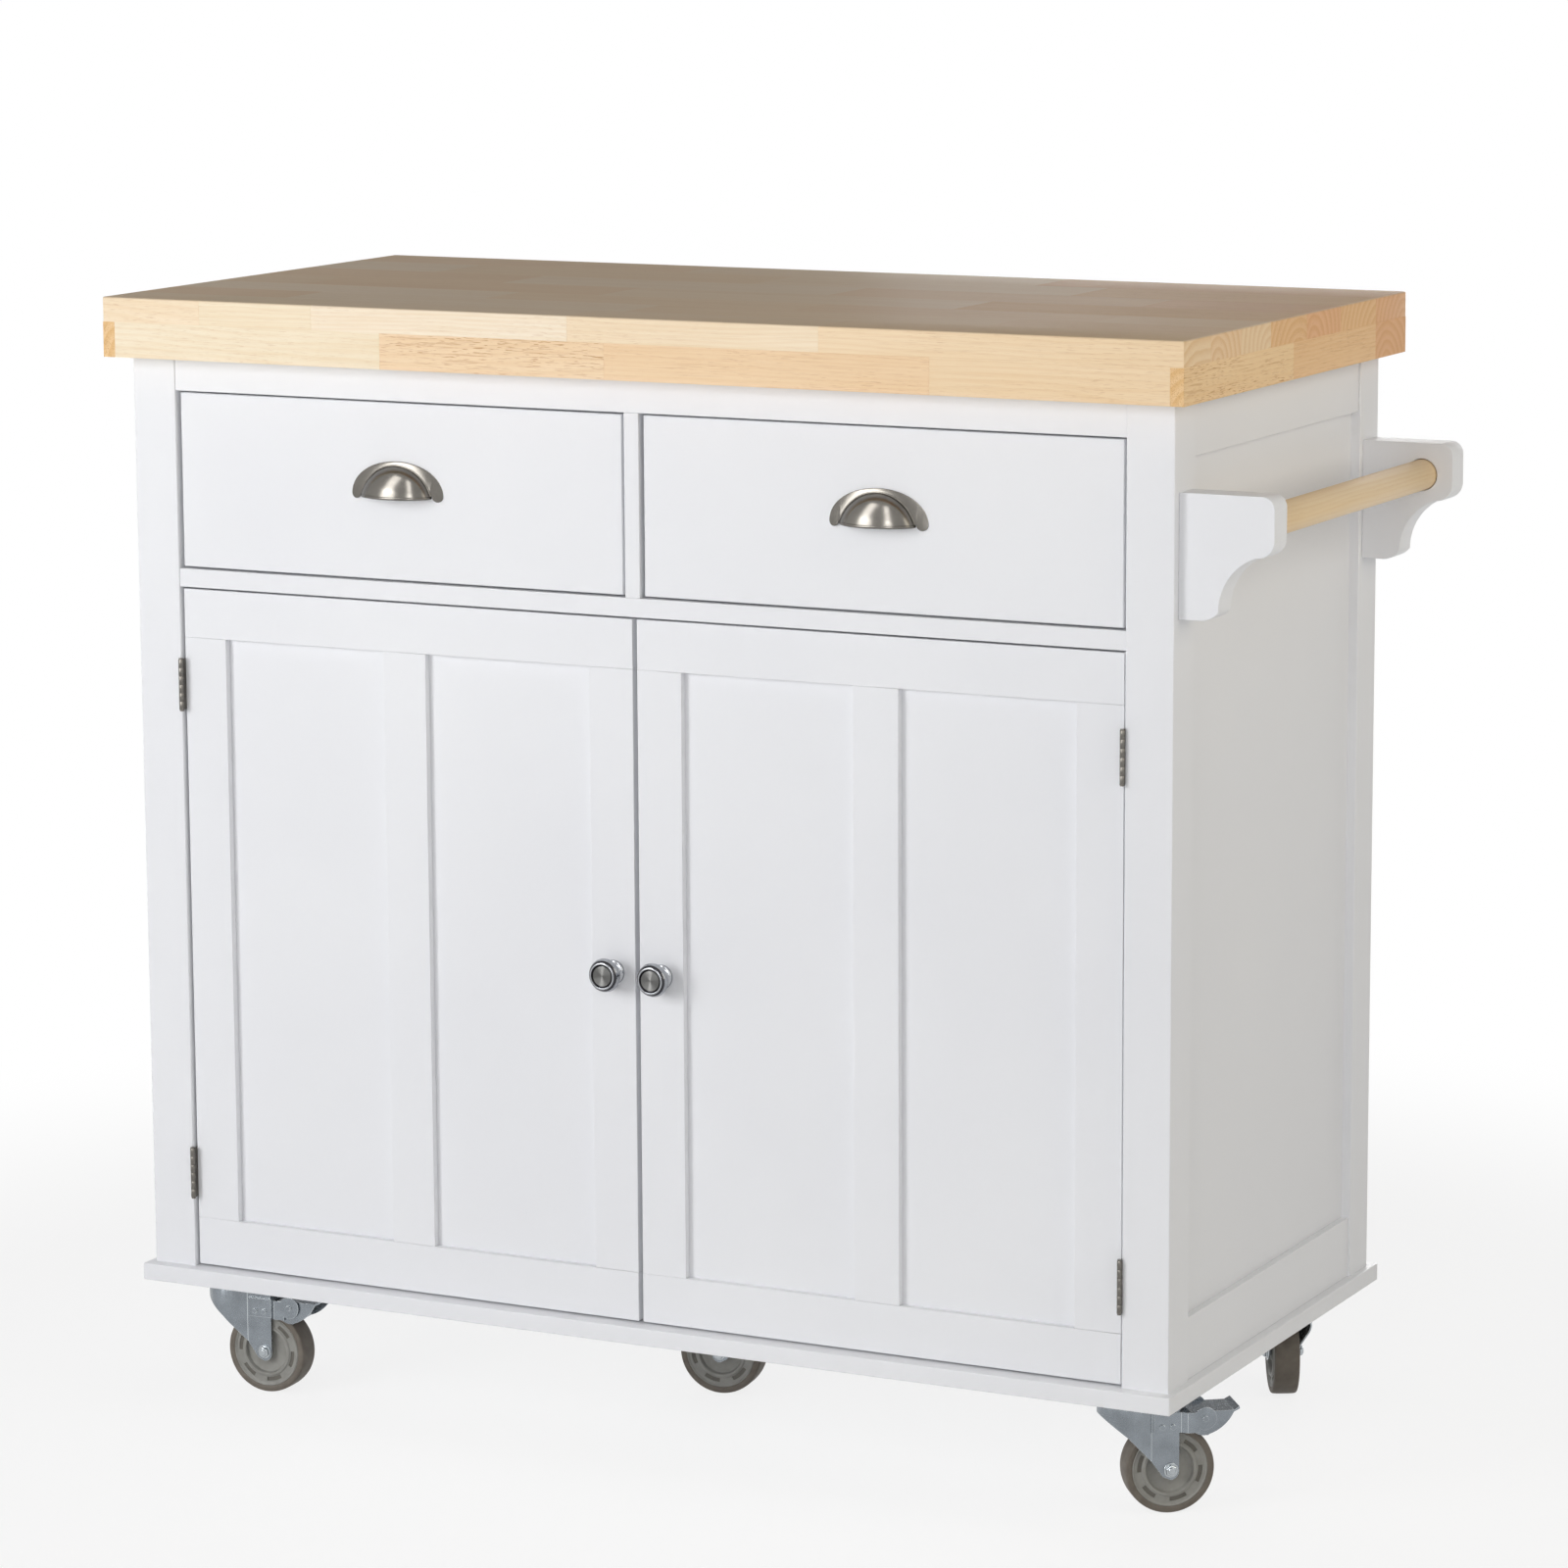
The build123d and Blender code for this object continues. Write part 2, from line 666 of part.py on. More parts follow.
for side_name, side in SIDES.items():
    label = f"{side_name}_door"
    with BuildPart() as door_rails:
        for low in (door_bottom, door_stile_high):
            side_slab(side, (door_inner, front_face, low),
                      (door_outer, front_back, low + door_rail_height))
        fillet(door_rails.faces().filter_by(Axis.Y).group_by(Axis.Y)[0].edges(),
               board_rounding / 2)
        door_panels(side, Mode.SUBTRACT)
    save(door_rails, f"{label}_rails")

    with BuildPart() as door_stiles:
        for near in stile_places:
            side_slab(side, (near, front_face, door_stile_low),
                      (near + door_stile_width, front_back, door_stile_high))
        fillet(door_stiles.faces().filter_by(Axis.Y).group_by(Axis.Y)[0].edges(),
               board_rounding / 2)
        door_panels(side, Mode.SUBTRACT)
    save(door_stiles, f"{label}_stiles")

    with BuildPart() as panels:
        door_panels(side)
    save(panels, f"{label}_panels")

    with BuildPart() as door_leaves:
        for bottom in hinge_bottoms:
            hinge_leaf(side, bottom, 0, -1)
    save(door_leaves, f"{label}_hinge_leaves")

    with BuildPart() as knob:
        turning = Plane(origin=(middle_x + side * knob_x, front_face, knob_z),
                        x_dir=(1, 0, 0), z_dir=(0, 0, 1))
        with BuildSketch(turning):
            with BuildLine():
                Line((0, 0), (knob_base_radius, 0))
                Line((knob_base_radius, 0), (knob_base_radius, -knob_base_height))
                Spline((knob_base_radius, -knob_base_height),
                       (knob_neck_radius, -(knob_base_height + knob_neck_height) / 2),
                       (knob_neck_radius, -knob_neck_height),
                       (knob_radius, -knob_rim_height))
                SagittaArc((knob_radius, -knob_rim_height), (knob_lip_radius, -knob_projection),
                           -knob_rim_bulge)
                Polyline((knob_lip_radius, -knob_projection),
                         (knob_lip_radius - knob_lip_width, -knob_projection),
                         (knob_disc_radius, -knob_projection + knob_groove_depth),
                         (knob_disc_radius, -knob_projection + knob_groove_depth / 2),
                         (0, -knob_projection + knob_groove_depth / 2),
                         (0, 0))
            make_face()
        revolve(axis=Axis((middle_x + side * knob_x, front_face, knob_z), (0, -1, 0)))
    save(knob, f"{label}_knob")

# ------------------------------------------------------------------ towel bar

with BuildPart() as towel_brackets:
    for inner_y, outer_y in ((-bracket_inner_y, -bracket_outer_y),
                             (bracket_inner_y, bracket_outer_y)):
        low_y = min(inner_y, outer_y)
        outline = Plane(origin=(middle_x + half_width, low_y, bracket_top - bracket_height),
                        x_dir=(1, 0, 0), z_dir=(0, -1, 0))
        nose_low = bracket_height - bracket_nose_height
        hollow_top = (bracket_reach - bracket_nose_run, nose_low - bracket_nose_fall)
        hollow_foot = (bracket_foot_reach, bracket_foot_rise)
        with BuildSketch(outline):
            with BuildLine():
                Line((0, 0), (0, bracket_height))
                Line((0, bracket_height), (bracket_reach - bracket_top_radius, bracket_height))
                RadiusArc((bracket_reach - bracket_top_radius, bracket_height),
                          (bracket_reach, bracket_height - bracket_top_radius),
                          bracket_top_radius)
                Line((bracket_reach, bracket_height - bracket_top_radius),
                     (bracket_reach, nose_low))
                SagittaArc((bracket_reach, nose_low), hollow_top, bracket_nose_bulge)
                SagittaArc(hollow_top, hollow_foot, -bracket_hollow)
                SagittaArc(hollow_foot, (bracket_foot_flat, 0), bracket_foot_bulge)
                Line((bracket_foot_flat, 0), (0, 0))
            make_face()
        extrude(amount=-bracket_thickness)
        # blind hole for the bar in the bracket's inner face
        mouth = Plane(origin=(middle_x + bar_x, inner_y, bar_z), x_dir=(1, 0, 0),
                      z_dir=(0, 1 if outer_y > inner_y else -1, 0))
        with BuildSketch(mouth):
            Circle(bar_radius + bar_hole_clearance)
        extrude(amount=bar_hole_depth, mode=Mode.SUBTRACT)
save(towel_brackets, "towel_brackets")

bar_half_length = bracket_inner_y + bar_hole_depth
with BuildPart() as towel_bar:
    with BuildSketch(Plane(origin=(middle_x + bar_x, -bar_half_length, bar_z),
                           x_dir=(1, 0, 0), z_dir=(0, 1, 0))):
        Circle(bar_radius)
    extrude(amount=2 * bar_half_length)
save(towel_bar, "towel_bar")

# ------------------------------------------------------------------ casters

with BuildPart() as caster_top_plates:
    centres = [(middle_x + x, y) for x, y, angle, braked in CASTERS.values()]
    with BuildSketch(Plane.XY.offset(plate_bottom)):
        with Locations(centres):
            RectangleRounded(plate_size, plate_size, plate_rounding)
        with Locations([(middle_x + x, y) for x, y in screw_places]):
            Circle(screw_radius + screw_clearance, mode=Mode.SUBTRACT)
    extrude(amount=plate_thickness)
    # raised race that the fork's crown turns under
    with BuildSketch(Plane.XY.offset(crown_top + race_gap)):
        with Locations(centres):
            Circle(race_radius)
    extrude(amount=plate_bottom - crown_top - race_gap)
    # kingpin through the crown, with its rivet head below
    with BuildSketch(Plane.XY.offset(crown_bottom - kingpin_head_gap)):
        with Locations(centres):
            Circle(kingpin_radius)
    extrude(amount=plate_bottom - crown_bottom + kingpin_head_gap)
    with BuildSketch(Plane.XY.offset(crown_bottom - kingpin_head_gap - kingpin_head_height)):
        with Locations(centres):
            Circle(kingpin_head_radius)
    extrude(amount=kingpin_head_height)
save(caster_top_plates, "caster_top_plates")

with BuildPart() as caster_screws:
    with BuildSketch(Plane.XY.offset(plate_bottom)):
        with Locations([(middle_x + x, y) for x, y in screw_places]):
            Circle(screw_radius)
    extrude(amount=plate_thickness + screw_depth)
    with BuildSketch(Plane.XY.offset(plate_bottom - screw_head_height)):
        with Locations([(middle_x + x, y) for x, y in screw_places]):
            Circle(screw_head_radius)
    extrude(amount=screw_head_height)
save(caster_screws, "caster_screws")


def caster_planes(x, y, angle):
    """Ground plane of one caster, with its x along the trail, and the upright plane through it.

    The upright plane's own x runs along the trail, its y is up, and it faces out of the side.
    """
    along = Vector(cos(radians(angle)), sin(radians(angle)), 0)
    outward = Vector(sin(radians(angle)), -cos(radians(angle)), 0)
    origin = (middle_x + x, y, 0)
    return Plane(origin, x_dir=along, z_dir=(0, 0, 1)), Plane(origin, x_dir=along, z_dir=outward)


def fork_outline(wall, leg_end):
    """Plan of the fork: a rounded crown that narrows to two straight legs."""
    half = fork_leg_half_width - wall
    wide = fork_crown_half_width - wall
    reach = fork_crown_reach - wall
    with BuildSketch() as outline:
        with BuildLine():
            ThreePointArc((fork_shoulder, wide), (-reach, 0), (fork_shoulder, -wide))
            Polyline((fork_shoulder, -wide), (fork_crease, -half), (leg_end, -half),
                     (leg_end, half), (fork_crease, half), (fork_shoulder, wide))
        make_face()
    return outline.sketch


fork_outside = fork_outline(0, fork_leg_end)
fork_inside = fork_outline(fork_wall, fork_leg_end + fork_wall)

# Side view of the fork: sloping skirt, straight leg and rounded tip round the axle
with BuildSketch() as fork_side:
    with BuildLine():
        Polyline((-fork_crown_reach, crown_top), (fork_top_end, crown_top),
                 (fork_leg_end, fork_leg_top), (fork_leg_end, fork_leg_tip + fork_leg_radius))
        RadiusArc((fork_leg_end, fork_leg_tip + fork_leg_radius),
                  (fork_leg_end - fork_leg_radius, fork_leg_tip), fork_leg_radius)
        Polyline((fork_leg_end - fork_leg_radius, fork_leg_tip),
                 (fork_tip_start, fork_leg_tip + fork_tip_rise),
                 (fork_crease, axle_z + fork_skirt_crease_rise),
                 (fork_skirt_middle, axle_z + fork_skirt_middle_rise),
                 (-fork_crown_reach, axle_z + fork_skirt_back_rise),
                 (-fork_crown_reach, crown_top))
    make_face()


def across(upright, near, far, shape, mode=Mode.ADD):
    """Extrude a side view from near to far along the upright plane's outward direction."""
    with BuildSketch(upright.offset(near)) as section:
        add(shape)
    extrude(section.sketch, amount=far - near, mode=mode)


def disc(s, z, radius):
    """A circle in the side view, s along the trail from the kingpin and z up."""
    with BuildSketch() as circle:
        with Locations((s, z)):
            Circle(radius)
    return circle.sketch


# Side view of the brake bracket: a plate on the leg, then a round lobe at the pedal's pivot
with BuildSketch() as bracket_side:
    with Locations((bracket_plate_start, bracket_plate_low)):
        Rectangle(pedal_pivot_reach - bracket_plate_start - bracket_lobe_radius / 2,
                  bracket_plate_high - bracket_plate_low, align=(Align.MIN, Align.MIN))
    with Locations((pedal_pivot_reach, pedal_pivot_height)):
        Circle(bracket_lobe_radius)


def brake_bracket(ground, upright, hand):
    """Bent plate from the fork's leg out to the pedal's pivot, on one side (hand +1 or -1)."""
    inner = -hand * fork_leg_half_width
    outer = -hand * lobe_inner
    wall = -hand * bracket_plate_wall
    bend_end = bracket_plate_bend + bracket_bend_run
    lobe_end = pedal_pivot_reach + bracket_lobe_radius
    with BuildPart() as plate:
        with BuildSketch(ground.offset(bracket_plate_low - bracket_lobe_radius)):
            with BuildLine():
                Polyline((bracket_plate_start, inner), (bracket_plate_bend, inner),
                         (bend_end, outer), (lobe_end, outer), (lobe_end, outer + wall),
                         (bend_end - bracket_plate_wall / 2, outer + wall),
                         (bracket_plate_bend - bracket_plate_wall / 2, inner + wall),
                         (bracket_plate_start, inner + wall), close=True)
            make_face()
        extrude(amount=bracket_plate_high - bracket_plate_low + 3 * bracket_lobe_radius)
        across(upright, -2 * lobe_inner, 2 * lobe_inner, bracket_side.sketch, Mode.INTERSECT)
    return plate.part


def make_fork(ground, upright, braked):
    """Pressed fork, with the pedal's riveted brackets and pivot pin where it carries a brake."""
    brackets = [brake_bracket(ground, upright, hand) for hand in (-1, 1) if braked]
    with BuildPart() as fork:
        with BuildSketch(ground):
            add(fork_outside)
        extrude(amount=crown_top)
        with BuildSketch(ground):
            add(fork_inside)
        extrude(amount=crown_bottom, mode=Mode.SUBTRACT)
        across(upright, -2 * fork_crown_half_width, 2 * fork_crown_half_width, fork_side.sketch,
               Mode.INTERSECT)
        with BuildSketch(ground):
            Circle(kingpin_radius + pivot_clearance)
        extrude(amount=base_bottom, mode=Mode.SUBTRACT)
        across(upright, -2 * fork_leg_half_width, 2 * fork_leg_half_width,
               disc(wheel_trail, axle_z, axle_radius + axle_clearance), Mode.SUBTRACT)
        for plate in brackets:
            add(plate)
        if braked:
            rivet_start = fork_leg_half_width + bracket_plate_wall
            for hand in (-1, 1):
                for place in rivet_places:
                    across(upright, hand * rivet_start, hand * (rivet_start + rivet_height),
                           disc(place, rivet_level, rivet_radius))
            pin_end = lobe_inner + bracket_plate_wall + rivet_height
            across(upright, -pin_end, pin_end,
                   disc(pedal_pivot_reach, pedal_pivot_height, pedal_pin_radius))
    return fork


def make_axle(upright):
    """Bolt through both legs and the wheel, with its head on one side and its nut on the other."""
    far = fork_leg_half_width + nut_height
    with BuildPart() as axle:
        across(upright, -fork_leg_half_width, far, disc(wheel_trail, axle_z, axle_radius))
        for near, bore in ((-far, 0), (fork_leg_half_width, axle_radius + axle_clearance)):
            with BuildSketch(upright.offset(near)):
                with Locations((wheel_trail, axle_z)):
                    RegularPolygon(nut_flats / 2, 6, major_radius=False)
                    if bore:
                        Circle(bore, mode=Mode.SUBTRACT)
            extrude(amount=nut_height)
    return axle


def make_wheel(upright):
    """Moulded hub with a lip, a recessed disc and windows in its ring, inside a soft tread."""
    half = wheel_width / 2
    centre = upright.from_local_coords((wheel_trail, axle_z, 0))
    section = Plane(origin=centre, x_dir=upright.y_dir, z_dir=upright.x_dir)
    spin = Axis(centre, upright.z_dir)
    bore = axle_radius + axle_clearance
    lip_inner = hub_lip_radius - hub_lip_width
    with BuildPart() as wheel:
        with BuildSketch(section):
            with BuildLine():
                Polyline((bore, -half + hub_boss_recess),
                         (hub_boss_radius, -half + hub_boss_recess),
                         (hub_boss_radius, -half + hub_disc_recess),
                         (lip_inner, -half + hub_disc_recess),
                         (lip_inner, -half), (hub_lip_radius, -half),
                         (hub_lip_radius, -half + hub_ring_recess),
                         (hub_radius - tread_bond, -half + hub_ring_recess),
                         (hub_radius - tread_bond, half - hub_ring_recess),
                         (hub_lip_radius, half - hub_ring_recess), (hub_lip_radius, half),
                         (lip_inner, half), (lip_inner, half - hub_disc_recess),
                         (hub_boss_radius, half - hub_disc_recess),
                         (hub_boss_radius, half - hub_boss_recess),
                         (bore, half - hub_boss_recess), close=True)
            make_face()
        revolve(axis=spin)
        for face in (-1, 1):
            with BuildSketch(upright.offset(face * half)):
                with Locations((wheel_trail, axle_z)):
                    with PolarLocations(hub_window_radius, hub_window_count):
                        Rectangle(hub_window_width, hub_window_length)
            extrude(amount=-face * (hub_ring_recess + hub_window_depth), mode=Mode.SUBTRACT)
        with BuildSketch(section) as tread:
            with Locations(((hub_radius + wheel_radius) / 2, 0)):
                Rectangle(tread_thickness, wheel_width)
            fillet(tread.vertices().group_by(Axis.X)[-1], tread_rounding)
        revolve(axis=spin)
    return wheel


# Side views of the pedal: its two cheeks, and its tread plate with an upturned lip
with BuildSketch() as pedal_cheek:
    with BuildLine():
        belly = (pedal_belly, pedal_top - pedal_belly_drop)
        heel_low = (pedal_heel + pedal_heel_run, pedal_top - pedal_heel_drop)
        Polyline(heel_low, (pedal_heel, pedal_top), (pedal_toe, pedal_top))
        SagittaArc((pedal_toe, pedal_top), belly, pedal_belly_bulge)
        SagittaArc(belly, heel_low, pedal_heel_bulge)
    make_face()
with BuildSketch() as pedal_plate:
    with BuildLine():
        Polyline((pedal_heel, pedal_top), (pedal_toe, pedal_top),
                 (pedal_toe + pedal_lip_run, pedal_top + pedal_lip_rise),
                 (pedal_toe + pedal_lip_run, pedal_top + pedal_lip_rise + pedal_wall),
                 (pedal_toe, pedal_top + pedal_wall), (pedal_heel, pedal_top + pedal_wall),
                 close=True)
    make_face()


def make_pedal(upright):
    """Channel-shaped pedal: two cheeks, a tread plate and a bar that presses on the wheel."""
    with BuildPart() as pedal:
        for hand in (-1, 1):
            across(upright, hand * pedal_inner, hand * pedal_outer, pedal_cheek.sketch)
        across(upright, -pedal_outer, pedal_outer, pedal_plate.sketch)
        across(upright, -pedal_outer, pedal_outer,
               disc(shoe_reach, shoe_height, shoe_radius))
        across(upright, -2 * pedal_outer, 2 * pedal_outer,
               disc(pedal_pivot_reach, pedal_pivot_height, pedal_pin_radius + pivot_clearance),
               Mode.SUBTRACT)
    return pedal


for caster_name, (x, y, angle, braked) in CASTERS.items():
    ground, upright = caster_planes(x, y, angle)
    save(make_fork(ground, upright, braked), f"{caster_name}_caster_fork")
    save(make_axle(upright), f"{caster_name}_caster_axle")
    save(make_wheel(upright), f"{caster_name}_caster_wheel")
    if braked:
        save(make_pedal(upright), f"{caster_name}_brake_pedal")
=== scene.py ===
import json
import math
import random

import bmesh
import bpy
from mathutils import Matrix, Vector


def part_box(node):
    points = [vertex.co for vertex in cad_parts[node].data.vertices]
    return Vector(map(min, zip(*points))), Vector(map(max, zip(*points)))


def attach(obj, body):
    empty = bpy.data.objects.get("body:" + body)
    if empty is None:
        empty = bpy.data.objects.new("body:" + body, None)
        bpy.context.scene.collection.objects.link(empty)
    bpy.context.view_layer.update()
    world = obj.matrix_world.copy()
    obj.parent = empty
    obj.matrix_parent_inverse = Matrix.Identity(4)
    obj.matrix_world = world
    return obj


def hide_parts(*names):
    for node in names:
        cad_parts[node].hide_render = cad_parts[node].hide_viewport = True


# A kitchen island cart: a white carcass with two drawers and two doors, a worktop glued up from
# staves, a towel bar and five casters. A CAD node keeps its own mesh unless a piece made here
# replaces it. Lengths are in metres, or in millimetres where MM or mm() turns them into metres.

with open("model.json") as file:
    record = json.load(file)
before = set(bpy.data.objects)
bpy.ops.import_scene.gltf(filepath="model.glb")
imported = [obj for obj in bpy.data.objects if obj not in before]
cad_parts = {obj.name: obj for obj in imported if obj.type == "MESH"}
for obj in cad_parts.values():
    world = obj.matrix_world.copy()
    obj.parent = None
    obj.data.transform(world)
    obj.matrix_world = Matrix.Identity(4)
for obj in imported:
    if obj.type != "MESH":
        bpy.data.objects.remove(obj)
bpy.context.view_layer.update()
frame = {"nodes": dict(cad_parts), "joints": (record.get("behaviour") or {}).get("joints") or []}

MM = 0.001
SIDES = {"left": -1, "right": 1}
JOINTS = {joint["name"]: joint for joint in frame["joints"]}
PANEL_LOW, PANEL_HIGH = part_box("worktop_panel")
MIDDLE_X = (PANEL_LOW.x + PANEL_HIGH.x) / 2


# ---------------------------------------------------------------- camera, floor and light

CAMERA_PLACE = Vector((2.00325, -3.97221, 1.29939))
CAMERA_YAW = math.radians(26.82)
CAMERA_PITCH = math.radians(9.97)
CAMERA_ROLL = math.radians(-0.30)
CAMERA_LENS = 127.44
SENSOR_WIDTH = 36.0


def make_camera():
    """A long lens a little above the worktop, turned to see the front and the right side."""
    forward = Vector((-math.sin(CAMERA_YAW) * math.cos(CAMERA_PITCH),
                      math.cos(CAMERA_YAW) * math.cos(CAMERA_PITCH),
                      -math.sin(CAMERA_PITCH)))
    level = Vector((math.cos(CAMERA_YAW), math.sin(CAMERA_YAW), 0))
    above = level.cross(forward)
    right = level * math.cos(CAMERA_ROLL) + above * math.sin(CAMERA_ROLL)
    up = above * math.cos(CAMERA_ROLL) - level * math.sin(CAMERA_ROLL)
    data = bpy.data.cameras.new("camera")
    data.lens = CAMERA_LENS
    data.sensor_width = SENSOR_WIDTH
    camera = bpy.data.objects.new("camera", data)
    turn = Matrix((right, up, -forward)).transposed().to_4x4()
    camera.matrix_world = Matrix.Translation(CAMERA_PLACE) @ turn
    bpy.context.scene.collection.objects.link(camera)
    bpy.context.scene.camera = camera


def add_node(tree, kind, inputs=None, **settings):
    """A new shader node, with constants or other nodes' sockets on its inputs.

    Inputs go by number or name. A Mix node's two numbers are 2 and 3, and its two colours 6 and 7.
    """
    node = tree.nodes.new("ShaderNode" + kind)
    for key, value in settings.items():
        setattr(node, key, value)
    for key, value in (inputs or {}).items():
        if isinstance(value, bpy.types.NodeSocket):
            tree.links.new(value, node.inputs[key])
        else:
            node.inputs[key].default_value = value
    return node


def background_rays(tree):
    """1 for the rays that see the backdrop itself, and 0 for those that carry its light."""
    path = add_node(tree, "LightPath")
    seen = add_node(tree, "Math", {0: path.outputs["Is Camera Ray"],
                                   1: path.outputs["Is Glossy Ray"]}, operation="MAXIMUM")
    return add_node(tree, "Math", {0: seen.outputs[0],
                                   1: path.outputs["Is Transmission Ray"]},
                    operation="MAXIMUM").outputs[0]


# The world's light at the horizon and below it, and from AMBIENT_TURN upwards, which is the sine
# of an angle above the horizon.
AMBIENT_LOW = 0.46
AMBIENT_HIGH = 0.14
AMBIENT_TURN = 0.75


def make_world():
    """White to look at, and dimmer overhead for the light that it sheds on the cart."""
    world = bpy.data.worlds.new("studio")
    bpy.context.scene.world = world
    world.use_nodes = True
    tree = world.node_tree
    tree.nodes.clear()
    sky = add_node(tree, "SeparateXYZ", {0: add_node(tree, "TexCoord").outputs["Generated"]})
    fill = add_node(tree, "MapRange", {"Value": sky.outputs[2], "From Min": 0.0,
                                       "From Max": AMBIENT_TURN, "To Min": AMBIENT_LOW,
                                       "To Max": AMBIENT_HIGH})
    level = add_node(tree, "Mix", {0: background_rays(tree), 2: fill.outputs[0], 3: 1.0})
    light = add_node(tree, "Background", {"Color": (1, 1, 1, 1), "Strength": level.outputs[0]})
    output = add_node(tree, "OutputWorld")
    tree.links.new(light.outputs[0], output.inputs["Surface"])


# The floor glows white beyond FLOOR_EDGE from the middle. Within FLOOR_POOL the glow is down to
# FLOOR_GLOW, and the rest is FLOOR_COLOUR, which is lit and shaded.
FLOOR_SIZE = 14.0
FLOOR_CELLS = 8
FLOOR_COLOUR = (0.9, 0.9, 0.9, 1)
FLOOR_GLOW = 0.82
FLOOR_POOL = 0.75
FLOOR_EDGE = 1.5


def make_floor():
    """A white floor that keeps a faint shadow close to the cart."""
    bm = bmesh.new()
    bmesh.ops.create_grid(bm, x_segments=FLOOR_CELLS, y_segments=FLOOR_CELLS, size=FLOOR_SIZE / 2)
    mesh = bpy.data.meshes.new("floor")
    bm.to_mesh(mesh)
    bm.free()
    floor = bpy.data.objects.new("floor", mesh)
    bpy.context.scene.collection.objects.link(floor)
    material = bpy.data.materials.new("floor")
    material.use_nodes = True
    tree = material.node_tree
    tree.nodes.clear()
    matt = add_node(tree, "BsdfDiffuse", {"Color": FLOOR_COLOUR})
    glow = add_node(tree, "Emission", {"Color": (1, 1, 1, 1), "Strength": 1.0})
    reach = add_node(tree, "VectorMath", {0: add_node(tree, "TexCoord").outputs["Object"]},
                     operation="LENGTH")
    white = add_node(tree, "MapRange", {"Value": reach.outputs["Value"],
                                        "From Min": FLOOR_POOL, "From Max": FLOOR_EDGE,
                                        "To Min": FLOOR_GLOW, "To Max": 1.0},
                     interpolation_type="SMOOTHSTEP")
    share = add_node(tree, "Math", {0: background_rays(tree), 1: white.outputs[0]},
                     operation="MULTIPLY")
    mix = add_node(tree, "MixShader", {0: share.outputs[0], 1: matt.outputs[0],
                                       2: glow.outputs[0]})
    output = add_node(tree, "OutputMaterial")
    tree.links.new(mix.outputs[0], output.inputs["Surface"])
    mesh.materials.append(material)


WHITE_LIGHT = (1.0, 1.0, 1.0)
WARM_LIGHT = (1.0, 0.94, 0.80)
LAMP_AIM = Vector((MIDDLE_X, 0, 0.5))


def softbox(name, azimuth, distance, height, width, tall, strength, tint=WHITE_LIGHT,
            gloss_only=False):
    """A soft lamp that faces the cart; azimuth 0 is straight in front, 90 is its right side.

    strength is about the light that it adds to a surface that faces it. With gloss_only it is
    seen in gloss alone, and adds no light to matt surfaces.
    """
    turn = math.radians(azimuth)
    place = Vector((MIDDLE_X + distance * math.sin(turn), -distance * math.cos(turn), height))
    data = bpy.data.lights.new(name, "AREA")
    data.shape = "RECTANGLE"
    data.size = width
    data.size_y = tall
    data.energy = strength * math.pi * (math.pi * distance ** 2)
    data.color = tint
    lamp = bpy.data.objects.new(name, data)
    lamp.location = place
    lamp.rotation_euler = (LAMP_AIM - place).to_track_quat("-Z", "Y").to_euler()
    lamp.visible_camera = False
    lamp.visible_diffuse = not gloss_only
    bpy.context.scene.collection.objects.link(lamp)


def make_lights():
    """Two lamps in front, a warm one at the right and one behind, and two strips for gloss."""
    softbox("lamp_left", azimuth=-29, distance=3.2, height=1.30, width=1.4, tall=1.7,
            strength=0.43)
    softbox("lamp_right", azimuth=18, distance=3.2, height=1.30, width=0.8, tall=1.7,
            strength=0.145)
    softbox("lamp_side", azimuth=84, distance=1.85, height=1.25, width=1.1, tall=1.2,
            strength=0.24, tint=WARM_LIGHT)
    softbox("lamp_back", azimuth=188, distance=3.2, height=0.75, width=1.8, tall=1.0,
            strength=0.30)
    softbox("strip_left", azimuth=-30, distance=2.2, height=2.5, width=0.8, tall=2.2,
            strength=0.60, gloss_only=True)
    softbox("strip_right", azimuth=18, distance=2.2, height=2.5, width=0.45, tall=2.2,
            strength=0.33, gloss_only=True)


# ---------------------------------------------------------------- shapes

